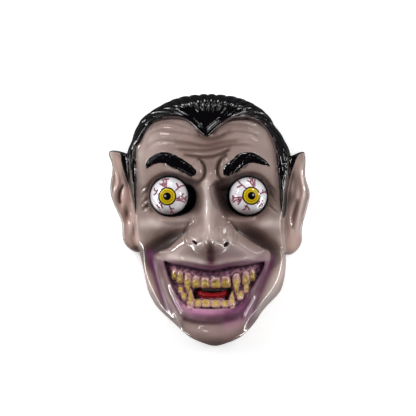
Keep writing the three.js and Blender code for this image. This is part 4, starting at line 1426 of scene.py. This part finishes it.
# The last entry puts the painted highlight on each pupil, in millimetres from its middle.
GAZES = {  # name: centre, degrees turned to the right and up, quarter turn of the print, pale spot
    "ball_left": (EYES[0], (-5.2, -1.5), 0, (-1.8, 0.4)),
    "ball_right": (EYES[1], (9.0, 0.4), 91, (1.6, 0.9)),
}


def vein_distance(u, v):
    """Distance from a place on the print to the nearest vein."""
    return np.min([to_line(curve(vein, parts=3), False, u, v)[0] for vein in VEINS], axis=0)


def add_eyeball(name, centre, gaze, turn, pupil_highlight):
    bpy.ops.object.select_all(action="DESELECT")
    bpy.ops.mesh.primitive_uv_sphere_add(segments=192, ring_count=116, radius=EYE_RADIUS * MM)
    ball = bpy.context.object
    ball.name = ball.data.name = name
    places = np.empty(len(ball.data.vertices) * 3)
    ball.data.vertices.foreach_get("co", places)
    places = places.reshape(-1, 3)
    u, v, height = places.T / MM
    angle = math.radians(turn)
    printed_u = u * math.cos(angle) + v * math.sin(angle)
    printed_v = v * math.cos(angle) - u * math.sin(angle)
    vein = np.where(height > 0, vein_distance(printed_u, printed_v), 9.0)
    keep_attribute(ball.data, "vein", vein)
    keep_attribute(ball.data, "print_place", np.stack([u, v, height], axis=-1))
    keep_attribute(ball.data, "pupil_highlight", np.where(height > 0, np.hypot(u - pupil_highlight[0], v - pupil_highlight[1]), 9.0))
    out = np.hypot(u, v)
    rise = IRIS_RISE * smooth(IRIS_RADIUS + 0.25, IRIS_RADIUS - 0.35, out) * (height > 0)
    places *= (1 + rise / EYE_RADIUS)[:, None]
    ball.data.vertices.foreach_set("co", places.ravel())
    ball.rotation_euler = (math.radians(-gaze[1]), math.radians(gaze[0]), 0)
    ball.location = (centre[0] * MM, centre[1] * MM, EYE_Z * MM)
    bpy.ops.object.transform_apply(location=True, rotation=True, scale=True)
    bpy.ops.object.shade_smooth()
    return ball


balls = {name: add_eyeball(name, *facts) for name, facts in GAZES.items()}
print("ball faces:", [len(ball.data.polygons) for ball in balls.values()])

# %% [markdown]
# ## Printed eyeball
#
# White plastic with a faint grey mottle, and a grey-brown painted shade along its lower edge. The iris
# is yellow with a lighter and a darker ring in it, a black ring round it and a black pupil with a pale
# painted highlight on it. The veins are dark red with blurred pink edges.

# %% Eyeball material
EYE_WHITE, EYE_GREY, EYE_SHADE = srgb(250, 247, 252), srgb(214, 210, 216), srgb(112, 92, 96)
IRIS_YELLOW, IRIS_AMBER, IRIS_LIGHT = srgb(206, 176, 12), srgb(150, 108, 6), srgb(226, 200, 40)
VEIN_RED, VEIN_PINK, PUPIL_PAINTED_HIGHLIGHT = srgb(108, 14, 44), srgb(180, 96, 120), srgb(190, 192, 192)


def ring(tree, out, inner, outer, blur=0.22):
    """1 between two radii."""
    return times(tree, ramp(tree, out, inner - blur, inner + blur),
                 ramp(tree, out, outer - blur, outer + blur, 1.0, 0.0))


def make_eyeball_material():
    material, tree, shader, places = new_material("eyeball")
    printed = add_node(tree, "ShaderNodeAttribute", {"attribute_name": "print_place"}).outputs["Vector"]
    flat = add_node(tree, "ShaderNodeVectorMath", {"operation": "MULTIPLY"}, {0: printed, 1: (1, 1, 0)})
    length = add_node(tree, "ShaderNodeVectorMath", {"operation": "LENGTH"}, {0: flat.outputs[0]})
    apart = add_node(tree, "ShaderNodeSeparateXYZ", None, {0: printed}).outputs
    front = ramp(tree, apart[2], 0.0, 1.0)
    out = length.outputs["Value"]
    mottle = ramp(tree, noise(tree, places, 120.0, 4.0), 0.35, 0.75, 0.0, 0.6)
    colour = lay(tree, EYE_WHITE, EYE_GREY, mottle)
    # painted shade: each ball darker towards its lower edge
    colour = lay(tree, colour, EYE_SHADE, ramp(tree, apart[1], -10.5, -18.5, 0.0, 0.75))
    wobble = times(tree, less(tree, noise(tree, places, 900.0, 2.0), 0.5), 0.5)
    vein = maths(tree, "ADD", read(tree, "vein"), wobble)
    colour = lay(tree, colour, VEIN_PINK, ramp(tree, vein, 0.5, 1.25, 0.75, 0.0))
    colour = lay(tree, colour, VEIN_RED, ramp(tree, vein, 0.1, 0.75, 0.95, 0.0))
    colour = lay(tree, colour, BLACK, times(tree, front, ramp(tree, out, 9.0, 9.4, 1.0, 0.0)))
    colour = lay(tree, colour, IRIS_YELLOW, times(tree, front, ramp(tree, out, 7.6, 8.0, 1.0, 0.0)))
    colour = lay(tree, colour, IRIS_LIGHT, times(tree, front, ring(tree, out, 6.6, 7.5, 0.5)))
    colour = lay(tree, colour, IRIS_AMBER, times(tree, front, ring(tree, out, 5.6, 6.1, 0.5)))
    colour = lay(tree, colour, BLACK, times(tree, front, ramp(tree, out, 3.7, 4.15, 1.0, 0.0)))
    # painted highlight on the pupil
    colour = lay(tree, colour, PUPIL_PAINTED_HIGHLIGHT, ramp(tree, read(tree, "pupil_highlight"), 0.5, 1.5, 0.85, 0.0))
    tree.links.new(colour, shader.inputs["Base Color"])
    gloss(tree, places, shader, 300.0, 0.08, 0.16, 0.012)
    finish(shader, Coat_Weight=1.0, Coat_Roughness=0.03)
    return material


eyeball = make_eyeball_material()
for name, node in (("ball_left", "eyeball_left"), ("ball_right", "eyeball_right")):
    balls[name].data.materials.append(eyeball)
    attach(balls[name], "root")
    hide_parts(node)
print("eyeballs stand for", [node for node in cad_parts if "eyeball" in node])

# %% [markdown]
# ## Studio
#
# A plain white paper floor, and the light of a product photograph. The paper glows a little outside the
# oval on which the mask lies, and is dimmed in reflections. Small bright windows stand left and right,
# long strips lie low beside the jaw, and thin strips light the locks of hair. Small sparks give the
# glints on the forehead and the ears and, like the strips, are seen only in the gloss. Faint sheens stand
# at both sides. The big soft lights are kept out of reflections, so that the black hair stays black.

# %% Floor
UNLIT_OVAL = (0.088, 0.116)  # half sizes of the oval under the mask where the paper doesn't glow, metres
bpy.ops.object.select_all(action="DESELECT")
bpy.ops.mesh.primitive_plane_add(size=6, location=(0, 0, 0))
floor = bpy.context.object
floor.name = "floor"
paper, tree, shader, places = new_material("floor_paper")
grain = noise(tree, places, 60.0, 4.0)
ray = tree.nodes.new("ShaderNodeLightPath").outputs
along = add_node(tree, "ShaderNodeSeparateXYZ", None, {0: places}).outputs["Y"]
unlit = times(tree, ray["Is Glossy Ray"], ramp(tree, along, 0.0, 0.08, 0.7, 0.97))
paper_white = lay(tree, (0.9, 0.9, 0.9, 1), (0.94, 0.94, 0.94, 1), grain)
tree.links.new(lay(tree, paper_white, (0, 0, 0, 1), unlit), shader.inputs["Base Color"])
finish(shader, Roughness=0.9, Emission_Strength=0.5, Specular_IOR_Level=0.1)
squash = add_node(tree, "ShaderNodeVectorMath", {"operation": "MULTIPLY"}, {
    0: places, 1: (1 / UNLIT_OVAL[0], 1 / UNLIT_OVAL[1], 0)})
reach = add_node(tree, "ShaderNodeVectorMath", {"operation": "LENGTH"}, {0: squash.outputs[0]})
glow = lay(tree, (0, 0, 0, 1), (1, 1, 1, 1), ramp(tree, reach.outputs["Value"], 0.75, 1.0))
tree.links.new(lay(tree, glow, (0, 0, 0, 1), unlit), shader.inputs["Emission Color"])
floor.data.materials.append(paper)
print("floor:", floor.name)

# %% Lights
AIM = Vector((0, 0, 0.04))  # every light is turned to here, in the middle of the mask


def add_area(name, place, size, radiance, seen_in_gloss, lights_up):
    """A rectangle of light at a place, turned to the mask, as bright as its radiance says."""
    light = bpy.data.lights.new(name, "AREA")
    light.shape = "RECTANGLE"
    light.size, light.size_y = size
    light.energy = radiance * math.pi * size[0] * size[1]
    lamp = bpy.data.objects.new(name, light)
    bpy.context.scene.collection.objects.link(lamp)
    lamp.location = place
    lamp.rotation_euler = (AIM - Vector(place)).to_track_quat("-Z", "Y").to_euler()
    lamp.visible_glossy, lamp.visible_diffuse = seen_in_gloss, lights_up


WINDOW_LIGHT, STRIP_LIGHT, SHEEN_LIGHT, HAIR_LIGHT = 17.0, 20.0, 1.0, 4.0
SIDE_LIGHT, TOP_LIGHT = 2.4, 0.62
WORLD_LIGHT, WORLD_IN_GLOSS, WORLD_BEHIND = 0.15, 0.01, 0.96
LIGHTS = [  # name, place, size, radiance, is it seen in gloss, does it light things up
    ("window_left", (-0.70, 0.34, 0.27), (0.24, 0.11), WINDOW_LIGHT, True, True),
    ("window_right", (0.76, 0.16, 0.29), (0.18, 0.11), WINDOW_LIGHT, True, True),
    ("strip_left", (-0.66, -0.30, 0.05), (0.6, 0.09), STRIP_LIGHT, True, False),
    ("strip_right", (0.66, -0.30, 0.05), (0.6, 0.09), STRIP_LIGHT, True, False),
    ("sheen_left", (-0.75, 0.42, 0.72), (0.45, 0.35), SHEEN_LIGHT * 0.8, True, True),
    ("sheen_right", (0.80, 0.36, 0.72), (0.45, 0.35), SHEEN_LIGHT * 0.5, True, True),
    ("strip_crown", (0.03, 0.80, 0.10), (0.20, 0.24), 6.0, True, False),
    ("hair_left", (-0.62, 0.66, 0.26), (0.6, 0.05), HAIR_LIGHT, True, False),
    ("hair_right", (0.66, 0.62, 0.26), (0.6, 0.05), HAIR_LIGHT * 0.7, True, False),
    ("spark_left", (-0.33, 0.70, 0.70), (0.20, 0.06), 10.0, True, False),
    ("spark_ear_left", (-0.90, 0.0, 0.20), (0.12, 0.10), 12.0, True, False),
    ("spark_ear_right", (0.85, -0.05, 0.30), (0.10, 0.08), 8.0, True, False),
    ("spark_right", (0.46, 0.59, 0.67), (0.15, 0.08), 12.0, True, False),
    ("soft_left", (-0.9, 0.45, 0.8), (0.9, 0.9), SIDE_LIGHT * 1.15, False, True),
    ("soft_right", (0.9, 0.5, 0.8), (0.9, 0.9), SIDE_LIGHT, False, True),
    ("soft_above", (0, 0.2, 1.7), (1.6, 1.6), TOP_LIGHT, False, True),
]
for facts in LIGHTS:
    add_area(*facts)
world = bpy.data.worlds.new("studio")
world.use_nodes = True
sky = world.node_tree.nodes["Background"]
sky.inputs["Color"].default_value = (1, 1, 1, 1)
ray = world.node_tree.nodes.new("ShaderNodeLightPath").outputs
light = ramp(world.node_tree, ray["Is Glossy Ray"], 0.0, 1.0, WORLD_LIGHT, WORLD_IN_GLOSS)
light = most(world.node_tree, light, times(world.node_tree, ray["Is Camera Ray"], WORLD_BEHIND))
world.node_tree.links.new(light, sky.inputs["Strength"])
bpy.context.scene.world = world
print("lights:", len(bpy.data.lights))

# %% [markdown]
# ## Camera
#
# The camera looks straight down from 1.5 m. At that distance a pixel of the photograph is 1.05 mm on
# the rim's plane, so the frame's 416 pixels are 437 mm.

# %% Camera
CAMERA_AT, FRAME_WIDTH = (-0.0007, 0.01204, 1.5), 0.4368
camera = bpy.data.cameras.new("camera")
camera.sensor_width = 36
camera.lens = camera.sensor_width * CAMERA_AT[2] / FRAME_WIDTH
viewpoint = bpy.data.objects.new("camera", camera)
bpy.context.scene.collection.objects.link(viewpoint)
viewpoint.location = CAMERA_AT
viewpoint.rotation_euler = (0, 0, 0)
bpy.context.scene.camera = viewpoint
bpy.context.scene.view_settings.view_transform = "Standard"
print("lens:", round(camera.lens, 1))
